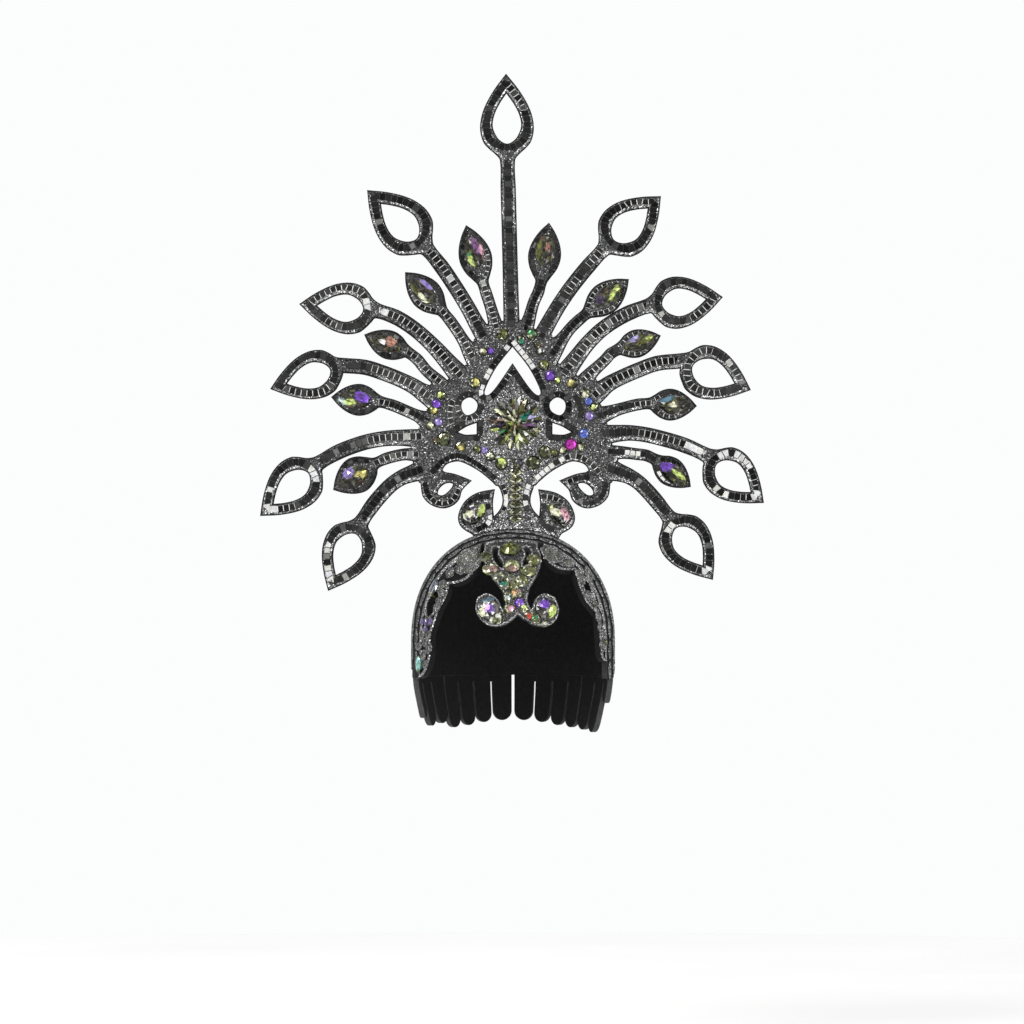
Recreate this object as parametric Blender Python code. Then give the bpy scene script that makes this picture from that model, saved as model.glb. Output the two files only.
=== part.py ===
"""A carnival crown: a tall flat foam crest of looped and leaf-tipped rays with cut stones,
standing on an openwork foam cap whose strips hang at the ears and nape.

Metres, +Z up, +X to the viewer's right, the front faces -Y. The origin is the crown of the head,
on the inside of the cap's top.
"""

import math

import bmesh
import bpy
from mathutils import Vector
from mathutils.geometry import delaunay_2d_cdt, intersect_point_line

for old in list(bpy.data.objects):
    bpy.data.objects.remove(old, do_unlink=True)

# Fit between neighbouring pieces
GAP = 0.0003

# Crest: one foam sheet
CREST_SPAN = 0.440
CREST_THICKNESS = 0.006
CREST_FORWARD = 0.010
MEDALLION_RISE = 0.100

# Rays
LOOP_WIDTH = 0.0475
LOOP_HOLE_WIDTH = 0.0250
LOOP_HOLE_START = 0.19
LOOP_HOLE_END = 0.77
LONG_STEM = 0.0135
LEAF_WIDTH = 0.0285
LEAF_STEM = 0.0105

# Stones
STONE_HEIGHT = 0.0042
LEAF_STONE_LENGTH = 0.0310
LEAF_STONE_WIDTH = 0.0168
LEAF_STONE_PLACE = 0.53
FOOT_STONE_LENGTH = 0.0225
FOOT_STONE_WIDTH = 0.0160
FOOT_STONE_TURN = 42.0
SMALL_STONE = 0.0072
SMALL_STONE_HEIGHT = 0.0024
NAVETTE_LENGTH = 0.0108
NAVETTE_WIDTH = 0.0054
BURST_RADIUS = 0.0236
BURST_BACKING = 0.0010
BURST_HEIGHT = 0.0034
BURST_BACKING_SHARE = 0.64
BURST_EYE = 0.22
RIM_STONE_SINK = 0.0010
GIRDLE_SHARE = 0.25
TABLE_SHARE = 0.55
STONE_SIDES = 12
SMALL_STONE_SIDES = 8
STONE_POINT = 0.6
PEAR_TAPER = 0.35

# Cap
CAP_WIDTH = 0.177
CAP_DEPTH = 0.205
CAP_DOME_RISE = 0.097
CAP_THICKNESS = 0.005
CAP_ROUNDNESS = 2.2
EAR_DROP = 0.0322
NAPE_DROP = 0.0825
NAPE_TAPER = 0.10
NAPE_CURVE = 1.5

# Hoops over the head, as slices of the cap from front to back
HOOP_BACK_EDGE = 0.024
HOOP_BACK_WIDTH = 0.044
HOOP_MIDDLE_WIDTH = 0.012
HOOP_FRONT_WIDTH = 0.010
HOOP_MIDDLE_RISE = 0.0012

# Rays in shares of CREST_SPAN about the medallion's centre, from the top down.
# Columns: tip x, tip z, throat x, throat z, bend x, bend z, width as a share of the named width.
CENTRE_RAY = (-0.014, 0.699, -0.011, 0.526, -0.007, 0.366, 1.00)
LONG_RAYS = {
    "left": (
        (-0.292, 0.466, -0.170, 0.346, -0.104, 0.254, 1.03),
        (-0.428, 0.238, -0.270, 0.224, -0.186, 0.179, 0.96),
        (-0.486, 0.068, -0.338, 0.115, -0.226, 0.087, 0.90),
        (-0.506, -0.186, -0.388, -0.080, -0.286, -0.036, 0.97),
        (-0.370, -0.336, -0.302, -0.196, -0.242, -0.122, 0.97),
    ),
    "right": (
        (0.296, 0.454, 0.180, 0.346, 0.108, 0.260, 1.02),
        (0.420, 0.252, 0.270, 0.234, 0.174, 0.184, 0.97),
        (0.476, 0.066, 0.332, 0.124, 0.214, 0.090, 1.00),
        (0.502, -0.160, 0.386, -0.064, 0.264, -0.023, 0.97),
        (0.400, -0.314, 0.310, -0.186, 0.250, -0.118, 0.97),
    ),
}
LEAF_RAYS = {
    "left": (
        (-0.094, 0.396, -0.060, 0.280, -0.046, 0.236, 1.02),
        (-0.216, 0.302, -0.140, 0.222, -0.106, 0.176, 0.99),
        (-0.298, 0.177, -0.208, 0.140, -0.172, 0.104, 0.90),
        (-0.364, 0.052, -0.264, 0.042, -0.204, 0.020, 0.99),
        (-0.360, -0.134, -0.274, -0.080, -0.226, -0.064, 1.14),
    ),
    "right": (
        (0.072, 0.401, 0.056, 0.282, 0.041, 0.240, 1.02),
        (0.232, 0.288, 0.146, 0.218, 0.112, 0.186, 0.99),
        (0.296, 0.175, 0.208, 0.146, 0.182, 0.124, 0.87),
        (0.368, 0.034, 0.272, 0.039, 0.224, 0.031, 0.99),
        (0.356, -0.128, 0.282, -0.072, 0.246, -0.062, 0.90),
    ),
}

# Half width along a loop and a leaf. Columns: share of the way from throat to tip, share of the half width.
LOOP_PROFILE = ((0.07, 0.45), (0.14, 0.70), (0.22, 0.90), (0.38, 1.00), (0.58, 0.87), (0.80, 0.49), (1.00, 0.00))
HOLE_PROFILE = ((0.00, 0.00), (0.05, 0.42), (0.16, 0.76), (0.36, 1.00), (0.60, 0.84), (0.82, 0.44), (1.00, 0.00))
LEAF_PROFILE = ((0.10, 0.56), (0.25, 0.86), (0.44, 1.00), (0.64, 0.86), (0.84, 0.48), (1.00, 0.00))

# Inner ends of the gaps between the rays, in shares of CREST_SPAN: x and z.
NOTCHES = {
    "left": (
        (-0.020, 0.202), (-0.051, 0.196), (-0.076, 0.166), (-0.094, 0.114), (-0.128, 0.086), (-0.163, 0.076),
        (-0.170, 0.026), (-0.186, -0.010), (-0.202, -0.048), (-0.198, -0.078), (-0.186, -0.117),
    ),
    "right": (
        (0.014, 0.204), (0.043, 0.186), (0.076, 0.174), (0.091, 0.117), (0.126, 0.094), (0.165, 0.085),
        (0.174, 0.035), (0.186, -0.002), (0.196, -0.042), (0.208, -0.074), (0.196, -0.117),
    ),
}

# Mirrored shapes, in shares of CREST_SPAN: distance out from the shape's own centre line, and z.
# Each run of points is one smooth curve, and two runs meet at a corner.
HUB_LINE = 0.005
CRESCENT = ((0.147, -0.096), (0.139, -0.084), (0.124, -0.078), (0.106, -0.079), (0.071, -0.098), (0.038, -0.126))
WINDOW_LINE = -0.001
WINDOW = ((0.000, 0.152), (0.033, 0.110), (0.055, 0.066), (0.050, 0.056), (0.033, 0.072), (0.000, 0.120))
OVAL_LINE = 0.001
OVAL = ((0.087, 0.051), (0.073, 0.040), (0.076, 0.024), (0.093, 0.016), (0.103, 0.027), (0.102, 0.043))
WEDGE_LINE = 0.003
WEDGE = (
    ((0.113, -0.018), (0.095, -0.007), (0.076, 0.000)),
    ((0.076, 0.000), (0.076, -0.022)),
    ((0.076, -0.022), (0.098, -0.023), (0.113, -0.018)),
)
CURL = (
    ((0.147, -0.097), (0.120, -0.102), (0.087, -0.115)),
    (
        (0.087, -0.115), (0.106, -0.134), (0.112, -0.152), (0.125, -0.165), (0.145, -0.171),
        (0.169, -0.164), (0.186, -0.146), (0.191, -0.118),
    ),
)
CURL_HOLE = ((0.152, -0.131), (0.139, -0.121), (0.125, -0.122), (0.133, -0.135), (0.145, -0.144), (0.155, -0.142))
FOOT_LINE = 0.007
FOOT_NECK = ((0.036, -0.126), (0.029, -0.146), (0.029, -0.162), (0.035, -0.175), (0.045, -0.186))
FOOT_LEAF_INNER = ((0.045, -0.186), (0.047, -0.160), (0.043, -0.132))
FOOT_LEAF_OUTER = (
    (0.043, -0.132), (0.078, -0.139), (0.104, -0.157), (0.117, -0.186), (0.110, -0.209), (0.083, -0.226),
)
FOOT_STONE = (0.083, -0.180)
NAVETTES = (-0.148, -0.164, -0.186)

# Rings of the medallion's flower, in shares of BURST_RADIUS: count, middle, length and width of a stone.
BURST_RINGS = ((12, 0.75, 0.48, 0.26), (8, 0.31, 0.36, 0.20))

# Small round stones on the medallion's edge, in shares of CREST_SPAN and of SMALL_STONE: x, z, width.
HUB_STONES = (
    (-0.019, 0.176, 1.2), (0.016, 0.166, 1.0), (0.034, 0.176, 1.1), (0.049, 0.157, 0.9), (-0.058, 0.138, 1.0),
    (-0.044, 0.142, 0.8), (0.064, 0.118, 1.1), (0.072, 0.096, 1.2), (0.089, 0.084, 0.9), (0.117, 0.078, 1.1),
    (-0.078, 0.080, 1.1), (-0.145, 0.054, 1.1), (-0.153, 0.038, 1.0), (-0.160, 0.018, 1.1), (-0.163, -0.006, 1.0),
    (-0.149, 0.002, 1.0), (0.142, 0.062, 1.1), (0.150, 0.045, 1.0), (0.163, 0.030, 1.0), (0.150, 0.010, 1.1),
    (0.142, -0.022, 1.1), (0.114, -0.042, 1.3), (0.134, -0.047, 1.0), (-0.152, -0.036, 0.9), (-0.106, -0.048, 1.1),
    (-0.082, -0.058, 1.0), (-0.057, -0.056, 1.0), (-0.045, -0.068, 1.1), (-0.020, -0.084, 1.1), (0.097, -0.056, 0.9),
    (0.037, -0.078, 1.1),
)

# Cap front, in shares of the front hoop's edge: x of its half width, and drop of its rise below its top.
RIM_EDGE = {
    "left": (
        ((-0.333, 0.247), (-0.417, 0.334), (-0.492, 0.394), (-0.588, 0.432), (-0.669, 0.442)),
        ((-0.669, 0.442), (-0.696, 0.549), (-0.770, 0.676), (-0.824, 0.813), (-0.861, 0.911)),
        ((-0.861, 0.911), (-0.871, 1.043), (-0.867, 1.118), (-0.899, 1.242), (-0.953, 1.330), (-1.000, 1.349)),
    ),
    "right": (
        ((0.312, 0.188), (0.439, 0.276), (0.535, 0.308), (0.642, 0.310)),
        ((0.642, 0.310), (0.674, 0.403), (0.749, 0.578), (0.813, 0.657), (0.898, 0.754)),
        ((0.898, 0.754), (0.915, 0.988), (0.923, 1.115), (0.952, 1.183), (1.000, 1.194)),
    ),
}
RIM_HOLES = {
    "left": (
        ((-0.376, 0.097), (-0.460, 0.140), (-0.620, 0.246), (-0.653, 0.296), (-0.525, 0.232), (-0.374, 0.159)),
        ((-0.802, 0.500), (-0.813, 0.627), (-0.899, 0.754), (-0.904, 0.617)),
    ),
    "right": (
        ((0.452, 0.134), (0.538, 0.172), (0.602, 0.237), (0.559, 0.247), (0.495, 0.206)),
        ((0.739, 0.384), (0.802, 0.442), (0.839, 0.559), (0.785, 0.520)),
    ),
}
# Stones of the rims: x, drop, length and width in metres, turn in degrees.
RIM_STONES = {
    "left": (
        (-0.492, 0.269, 0.0150, 0.0095, 35.0),
        (-0.613, 0.360, 0.0095, 0.0070, 30.0),
        (-0.742, 0.505, 0.0120, 0.0060, 70.0),
        (-0.892, 0.849, 0.0100, 0.0060, 80.0),
        (-0.930, 1.183, 0.0150, 0.0062, 90.0),
    ),
    "right": (
        (0.419, 0.188, 0.0170, 0.0100, -30.0),
        (0.688, 0.355, 0.0110, 0.0060, -70.0),
        (0.882, 0.699, 0.0100, 0.0060, -80.0),
        (0.957, 1.000, 0.0130, 0.0060, 90.0),
    ),
}

# Forehead ornament: mirrored about a line that leans with the drop, in the same shares.
ORNAMENT_THICKNESS = 0.0045
ORNAMENT_LEAN = 0.11
ORNAMENT_PIVOT = 0.258
ORNAMENT_EDGE = (
    ((0.288, 0.086), (0.312, 0.156), (0.296, 0.258), (0.239, 0.360), (0.161, 0.462)),
    ((0.161, 0.462), (0.120, 0.581), (0.153, 0.667), (0.194, 0.575), (0.305, 0.515), (0.414, 0.559)),
    ((0.414, 0.559), (0.446, 0.667), (0.406, 0.774), (0.301, 0.839), (0.140, 0.823), (0.000, 0.731)),
)
ORNAMENT_HOOK = (
    (0.189, 0.091), (0.138, 0.091), (0.156, 0.153), (0.115, 0.220), (0.116, 0.274), (0.161, 0.247), (0.200, 0.167),
)
# Round stones of the ornament: x, drop, diameter in metres.
CROWN_STONE = (-0.027, 0.102, 0.0185)
MIDDLE_STONE = (-0.011, 0.263, 0.0150)
SCROLL_STONE_SIZE = 0.0200
SCROLL_STONE = (0.304, 0.667)
ORNAMENT_STONES = (
    (-0.247, 0.167, 0.0065), (-0.204, 0.301, 0.0070), (0.231, 0.183, 0.0065), (0.188, 0.306, 0.0070),
    (-0.054, 0.468, 0.0075), (0.038, 0.527, 0.0070), (-0.048, 0.591, 0.0075), (0.091, 0.634, 0.0065),
    (-0.032, 0.715, 0.0070), (0.161, 0.774, 0.0070), (-0.118, 0.774, 0.0060),
)

# Hanging strips: azimuth from the front in degrees, and the tips' drops in shares of NAPE_DROP.
STRIP_GAP = 0.0016
STRIP_BAND = 0.006
SIDE_STRIPS_FROM = 92.0
SIDE_STRIPS_TO = 134.0
SIDE_STRIP_TIPS = {"left": (0.83, 0.92, 0.90), "right": (0.67, 0.99, 0.97)}
NAPE_STRIP_TIPS = (0.95, 0.93, 0.90, 0.88)

# The hidden bracket behind the crest
BRACE_WIDTH = 0.008
BRACE_DROP = 0.058
BRACE_REACH = 0.034

# How finely curves are drawn
CURVE_STEPS = 3
HOLE_STEPS = 2
STEM_STEPS = 3
HOOP_STEPS = 24
STRIP_TIP_STEPS = 5
FOOT_BASE_STEPS = 8
BACK_EDGE_STEPS = 8
BACK_RIM_STEPS = 16
RIM_TOP_STEPS = 12
ORNAMENT_TOP_STEPS = 5
BRACE_STEPS = 5
SHARP_ANGLE = 35.0
FILL_CLEARANCE = 0.45
SAME_PLACE = 1e-7
CAP_PITCH = 0.018
RIM_PITCH = 0.014
STRIP_PITCH = 0.012

# Colour, metallic and roughness of each finish
FINISHES = {
    "glitter_foam": ((0.065, 0.062, 0.064), 0.3, 0.45),
    "cap_foam": ((0.045, 0.044, 0.046), 0.1, 0.60),
    "strip_foam": ((0.035, 0.034, 0.036), 0.0, 0.70),
    "smoky_stone": ((0.340, 0.360, 0.240), 0.8, 0.08),
    "rainbow_stone": ((0.420, 0.360, 0.480), 0.8, 0.06),
}

# Places worked out from the sizes above
FRONT_Y = -CREST_FORWARD - CREST_THICKNESS / 2
BACK_Y = -CREST_FORWARD + CREST_THICKNESS / 2
HALF_WIDTH = CAP_WIDTH / 2
HALF_DEPTH = CAP_DEPTH / 2
EQUATOR = CAP_THICKNESS - CAP_DOME_RISE
EAR_Z = EQUATOR - EAR_DROP
QUARTER_ARC = (HALF_WIDTH + CAP_DOME_RISE) * math.pi / 4
HOOP_MIDDLE_Y = HOOP_BACK_EDGE - HOOP_BACK_WIDTH - GAP
HOOP_FRONT_Y = HOOP_MIDDLE_Y - HOOP_MIDDLE_WIDTH - GAP
RIM_Y = HOOP_FRONT_Y - HOOP_FRONT_WIDTH - GAP
SIDES = {"left": -1, "right": 1}
UP = Vector((0.0, 0.0, 1.0))
FORWARD = Vector((0.0, -1.0, 0.0))
DOWN = Vector((0.0, -1.0))


def material(slot):
    """The Principled material of a finish, made once."""
    if slot in bpy.data.materials:
        return bpy.data.materials[slot]
    made = bpy.data.materials.new(slot)
    made.use_nodes = True
    colour, metallic, roughness = FINISHES[slot]
    shader = made.node_tree.nodes["Principled BSDF"]
    shader.inputs["Base Color"].default_value = (*colour, 1.0)
    shader.inputs["Metallic"].default_value = metallic
    shader.inputs["Roughness"].default_value = roughness
    return made


def finish(name, slot, shape, rounded=False):
    """Turns a closed bmesh into a named object."""
    bmesh.ops.recalc_face_normals(shape, faces=shape.faces)
    mesh = bpy.data.meshes.new(name)
    shape.to_mesh(mesh)
    shape.free()
    if rounded:
        mesh.shade_smooth()
        mesh.set_sharp_from_angle(angle=math.radians(SHARP_ANGLE))
    mesh.materials.append(material(slot))
    made = bpy.data.objects.new(name, mesh)
    bpy.context.scene.collection.objects.link(made)
    return made


def smooth(points, closed=False, steps=CURVE_STEPS):
    """Points along a smooth curve through the given ones."""
    count = len(points)
    curve = []
    for k in range(count if closed else count - 1):
        if closed:
            before, start, end, after = (points[(k + j) % count] for j in (-1, 0, 1, 2))
        else:
            before, start, end, after = (points[min(max(k + j, 0), count - 1)] for j in (-1, 0, 1, 2))
        for step in range(steps):
            t = step / steps
            pull = (end - before) * (t - 2 * t**2 + t**3) / 2 + (after - start) * (t**3 - t**2) / 2
            curve.append(start * (1 - 3 * t**2 + 2 * t**3) + end * (3 * t**2 - 2 * t**3) + pull)
    if not closed:
        curve.append(points[-1])
    return curve


def runs(pieces, steps=CURVE_STEPS):
    """One closed outline of smooth runs that meet at corners; each run starts where the last one ended."""
    outline = []
    for piece in pieces:
        outline += smooth(piece, steps=steps)[:-1]
    return outline


def inside(point, loop):
    """Whether a flat point lies in a closed outline."""
    hit = False
    for a, b in zip(loop, loop[1:] + loop[:1]):
        if (a.y > point.y) != (b.y > point.y):
            if point.x < a.x + (point.y - a.y) * (b.x - a.x) / (b.y - a.y):
                hit = not hit
    return hit


def clear_of(point, loop, distance):
    """Whether a flat point keeps a distance from every edge of an outline."""
    for a, b in zip(loop, loop[1:] + loop[:1]):
        foot, share = intersect_point_line(point, a, b)
        near = a if share < 0 else b if share > 1 else foot.to_2d()
        if (point - near).length < distance:
            return False
    return True


def fill_points(outer, holes, pitch):
    """A grid of points inside an outline, so that a bent sheet follows its curve."""
    left = min(p.x for p in outer)
    low = min(p.y for p in outer)
    columns = int((max(p.x for p in outer) - left) / pitch) + 1
    rows = int((max(p.y for p in outer) - low) / pitch) + 1
    grid = [Vector((left + i * pitch, low + j * pitch)) for i in range(columns + 1) for j in range(rows + 1)]
    return [
        point for point in grid
        if inside(point, outer)
        and not any(inside(point, hole) for hole in holes)
        and all(clear_of(point, loop, pitch * FILL_CLEARANCE) for loop in (outer, *holes))
    ]


def triangles(outer, holes=(), fill=()):
    """Flat triangles between an outline and its holes, through the fill points."""
    points = []
    edges = []
    for loop in (outer, *holes):
        first = len(points)
        points += loop
        edges += [(first + k, first + (k + 1) % len(loop)) for k in range(len(loop))]
    flat, _, faces, *_ = delaunay_2d_cdt([*points, *fill], edges, [], 0, SAME_PLACE)
    kept = []
    for face in faces:
        middle = sum((flat[i] for i in face), Vector((0.0, 0.0))) / len(face)
        if inside(middle, outer) and not any(inside(middle, hole) for hole in holes):
            kept.append(face)
    return flat, kept


def sheet(name, slot, outer, holes, near, far, fill=(), rounded=False):
    """A closed sheet between its near and far surfaces, with a wall round every edge."""
    flat, faces = triangles(outer, holes, fill)
    shape = bmesh.new()
    front = {}
    back = {}
    for i in {i for face in faces for i in face}:
        front[i] = shape.verts.new(near(flat[i]))
        back[i] = shape.verts.new(far(flat[i]))
    borders = set()
    for face in faces:
        shape.faces.new([front[i] for i in face])
        shape.faces.new([back[i] for i in reversed(face)])
        borders |= set(zip(face, face[1:] + face[:1]))
    for a, b in sorted(borders):
        if (b, a) not in borders:
            shape.faces.new((front[b], front[a], back[a], back[b]))
    return finish(name, slot, shape, rounded)


def plate(name, slot, outer, holes=()):
    """A piece of the crest's flat foam sheet. Outlines are in x and z."""
    return sheet(
        name, slot, outer, holes,
        lambda p: Vector((p.x, FRONT_Y, p.y)),
        lambda p: Vector((p.x, BACK_Y, p.y)),
    )


def on_crest(x, z):
    """A place on the crest, from shares of its span about the medallion's centre."""
    return Vector((x * CREST_SPAN, z * CREST_SPAN + MEDALLION_RISE))


def mirrored(points, line, side):
    """A mirrored chart's points on one side of the crest."""
    return [on_crest(line + side * out, z) for out, z in points]


def seat(start, end, away):
    """The edge that butts against start to end: moved off it by the gap, and shortened as much at each end."""
    along = (end - start).normalized()
    off = Vector((-along.y, along.x))
    if off.dot(away - start) < 0:
        off = -off
    return start + (along + off) * GAP, end + (off - along) * GAP


def ray_outline(start, end, row, stem, width, profile):
    """A ray's outline: out along one edge from its seat on the hub, round the tip and back."""
    tip, throat, bend = on_crest(*row[0:2]), on_crest(*row[2:4]), on_crest(*row[4:6])
    start, end = seat(start, end, bend)
    root = (start + end) / 2
    spine = smooth([root, bend, throat, tip], steps=STEM_STEPS)[: 2 * STEM_STEPS + 1]
    edges = ([], [])
    for k, point in enumerate(spine):
        ahead = spine[min(k + 1, len(spine) - 1)] - spine[max(k - 1, 0)]
        across = Vector((-ahead.y, ahead.x)).normalized() * stem / 2
        flare = max(1 - k / STEM_STEPS, 0.0) ** 2
        for edge, corner, side in zip(edges, (start, end), (1, -1)):
            if (start - root).dot(across) < 0:
                side = -side
            edge.append(point + across * side * (1 - flare) + (corner - root) * flare)
    axis = tip - throat
    across = Vector((-axis.y, axis.x)).normalized()
    if (start - root).dot(across) < 0:
        across = -across
    for share, fullness in profile[:-1]:
        half = max(stem, width * fullness) / 2
        edges[0].append(throat + axis * share + across * half)
        edges[1].append(throat + axis * share - across * half)
    return edges[0] + [tip] + edges[1][::-1]


def loop_hole(row, width):
    """The pointed window in a long ray's loop."""
    tip, throat = on_crest(*row[0:2]), on_crest(*row[2:4])
    start = throat.lerp(tip, LOOP_HOLE_START)
    axis = throat.lerp(tip, LOOP_HOLE_END) - start
    across = Vector((-axis.y, axis.x)).normalized() * width / 2
    near_side = [start + axis * share + across * fullness for share, fullness in HOLE_PROFILE]
    far_side = [start + axis * share - across * fullness for share, fullness in HOLE_PROFILE[1:-1]]
    return near_side + far_side[::-1]


def make_long_ray(name, notches, row):
    share = row[6]
    outline = ray_outline(*notches, row, LONG_STEM, LOOP_WIDTH * share, LOOP_PROFILE)
    return plate(name, "glitter_foam", outline, [loop_hole(row, LOOP_HOLE_WIDTH * share)])


def make_leaf_ray(name, notches, row):
    outline = ray_outline(*notches, row, LEAF_STEM, LEAF_WIDTH * row[6], LEAF_PROFILE)
    return plate(name, "glitter_foam", outline)


def pointed(length, width, count=STONE_SIDES):
    """Outline of a stone with two pointed ends, its length along x."""
    turns = [2 * math.pi * k / count for k in range(count)]
    return [
        Vector((length / 2 * math.cos(t), width / 2 * math.sin(t) * abs(math.sin(t)) ** STONE_POINT)) for t in turns
    ]


def pear(length, width, count=STONE_SIDES):
    """Outline of a stone with one pointed end, at +x."""
    turns = [2 * math.pi * k / count for k in range(count)]
    return [
        Vector((length / 2 * math.cos(t), width / 2 * math.sin(t) * (1 - PEAR_TAPER * math.cos(t)))) for t in turns
    ]


def ring(width, count=STONE_SIDES):
    """Outline of a round stone."""
    turns = [2 * math.pi * (k + 0.5) / count for k in range(count)]
    return [Vector((width / 2 * math.cos(t), width / 2 * math.sin(t))) for t in turns]


def turned(points, degrees):
    """Flat points turned about their middle."""
    angle = math.radians(degrees)
    return [Vector((p.x * math.cos(angle) - p.y * math.sin(angle), p.x * math.sin(angle) + p.y * math.cos(angle)))
            for p in points]


def add_levels(shape, outline, centre, normal, levels):
    """Adds a closed solid whose outline is scaled and lifted at each level along the normal."""
    right = UP.cross(normal).normalized()
    up = normal.cross(right)
    rows = []
    for scale, lift in levels:
        rows.append([
            shape.verts.new(centre + (right * p.x + up * p.y) * scale + normal * lift) for p in outline
        ])
    shape.faces.new(rows[0][::-1])
    shape.faces.new(rows[-1])
    for lower, upper in zip(rows, rows[1:]):
        for k in range(len(outline)):
            after = (k + 1) % len(outline)
            shape.faces.new((lower[k], lower[after], upper[after], upper[k]))


def add_stone(shape, outline, centre, normal, height, sink):
    """Adds a cut stone: flat back, short girdle, sloped facets and a table. sink is how far it goes in."""
    levels = ((1.0, -sink), (1.0, height * GIRDLE_SHARE), (TABLE_SHARE, height))
    add_levels(shape, outline, centre, normal, levels)


def make_stone(name, slot, outline, centre, normal, height=STONE_HEIGHT):
    """A stone of its own, just clear of what it sits on."""
    shape = bmesh.new()
    add_stone(shape, outline, centre, normal, height, -GAP)
    return finish(name, slot, shape)


def fuse(target, shape):
    """Unites a piece with the closed solids of a bmesh."""
    added = finish(f"{target.name}_added", "smoky_stone", shape)
    added.hide_render = True
    added.display_type = "WIRE"
    union = target.modifiers.new("stones", "BOOLEAN")
    union.operation = "UNION"
    union.use_self = True
    union.object = added
    return target


def on_front(flat):
    """A place on the crest's front face."""
    return Vector((flat.x, FRONT_Y, flat.y))


def hub_outline():
    """The medallion: the ends of the gaps between the rays, then the two crescents down to the neck."""
    left = [on_crest(*place) for place in NOTCHES["left"]]
    right = [on_crest(*place) for place in NOTCHES["right"]]
    left_crescent = smooth(mirrored(CRESCENT, HUB_LINE, -1))
    right_crescent = smooth(mirrored(CRESCENT, HUB_LINE, 1))
    return left[::-1] + right + right_crescent + left_crescent[::-1]


def hub_holes():
    """The windows cut through the medallion."""
    half = smooth(mirrored(WINDOW, WINDOW_LINE, -1))
    other = smooth(mirrored(WINDOW, WINDOW_LINE, 1))
    holes = [half + other[-2:0:-1]]
    for side in (-1, 1):
        holes.append(smooth(mirrored(OVAL, OVAL_LINE, side), closed=True, steps=HOLE_STEPS))
        holes.append(runs([mirrored(run, WEDGE_LINE, side) for run in WEDGE], steps=HOLE_STEPS))
    return holes


def make_hub():
    hub = plate("crest_hub", "glitter_foam", hub_outline(), hub_holes())
    stones = bmesh.new()
    for x, z, width in HUB_STONES:
        outline = ring(SMALL_STONE * width, SMALL_STONE_SIDES)
        add_stone(stones, outline, on_front(on_crest(x, z)), FORWARD, SMALL_STONE_HEIGHT, GAP)
    return fuse(hub, stones)


def crescent_foot(side):
    """Where the medallion's neck ends on one side, and where its curl begins."""
    crescent = mirrored(CRESCENT, HUB_LINE, side)
    return crescent[-1], crescent[0]


def make_curl(word, side):
    """A scroll that hangs from the medallion's lower corner."""
    corner = crescent_foot(side)[1]
    notch = on_crest(*NOTCHES[word][-1])
    runs_of_points = [mirrored(run, HUB_LINE, side) for run in CURL]
    inner, outer = seat(corner, notch, corner + DOWN)
    runs_of_points[0][0] = inner
    runs_of_points[1][-1] = outer
    outline = runs(runs_of_points) + [outer]
    hole = smooth(mirrored(CURL_HOLE, HUB_LINE, side), closed=True, steps=HOLE_STEPS)
    return plate(f"curl_{word}", "glitter_foam", outline, [hole])


def cap_scale(y):
    """How much smaller the cap's cross-section is at y than at the ears."""
    return (1 - (abs(y) / HALF_DEPTH) ** CAP_ROUNDNESS) ** (1 / CAP_ROUNDNESS)


def slice_height(x, y):
    """Height of the cap's outer surface over a point of its plan."""
    scale = cap_scale(y)
    share = min(abs(x) / (HALF_WIDTH * scale), 1.0)
    return EQUATOR + CAP_DOME_RISE * scale * (1 - share**CAP_ROUNDNESS) ** (1 / CAP_ROUNDNESS)


def make_foot():
    """The crest's base: neck, two leaf scrolls and a lower edge that follows the cap."""
    sides = []
    for side in (-1, 1):
        neck = smooth(mirrored(FOOT_NECK, FOOT_LINE, side))
        inner = smooth(mirrored(FOOT_LEAF_INNER, FOOT_LINE, side))
        outer = smooth(mirrored(FOOT_LEAF_OUTER, FOOT_LINE, side))
        outer[-1].y = slice_height(outer[-1].x, BACK_Y) + GAP
        sides.append(neck[:-1] + inner[:-1] + outer)
    left_top, right_top = (crescent_foot(side)[0] for side in (-1, 1))
    sides[0][0] = left_top + Vector((GAP, -GAP))
    sides[1][0] = right_top + Vector((-GAP, -GAP))
    left_end, right_end = sides[0][-1].x, sides[1][-1].x
    base = []
    for k in range(1, FOOT_BASE_STEPS):
        x = left_end + (right_end - left_end) * k / FOOT_BASE_STEPS
        base.append(Vector((x, slice_height(x, BACK_Y) + GAP)))
    foot = plate("crest_foot", "glitter_foam", sides[1][::-1] + sides[0] + base)
    stones = bmesh.new()
    for z in NAVETTES:
        outline = pointed(NAVETTE_LENGTH, NAVETTE_WIDTH, SMALL_STONE_SIDES)
        centre = on_front(on_crest(HUB_LINE, z))
        add_stone(stones, outline, centre, FORWARD, SMALL_STONE_HEIGHT, GAP)
    return fuse(foot, stones)


def make_rays():
    """All the rays, each butted against its own stretch of the medallion's edge."""
    tops = [on_crest(*NOTCHES[word][0]) for word in ("left", "right")]
    make_long_ray("ray_centre", tops, CENTRE_RAY)
    for word in SIDES:
        notches = [on_crest(*place) for place in NOTCHES[word]]
        for k, row in enumerate(LEAF_RAYS[word]):
            make_leaf_ray(f"ray_leaf_{word}_{k + 1}", notches[2 * k : 2 * k + 2], row)
        for k, row in enumerate(LONG_RAYS[word]):
            make_long_ray(f"ray_long_{word}_{k + 1}", notches[2 * k + 1 : 2 * k + 3], row)


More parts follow.
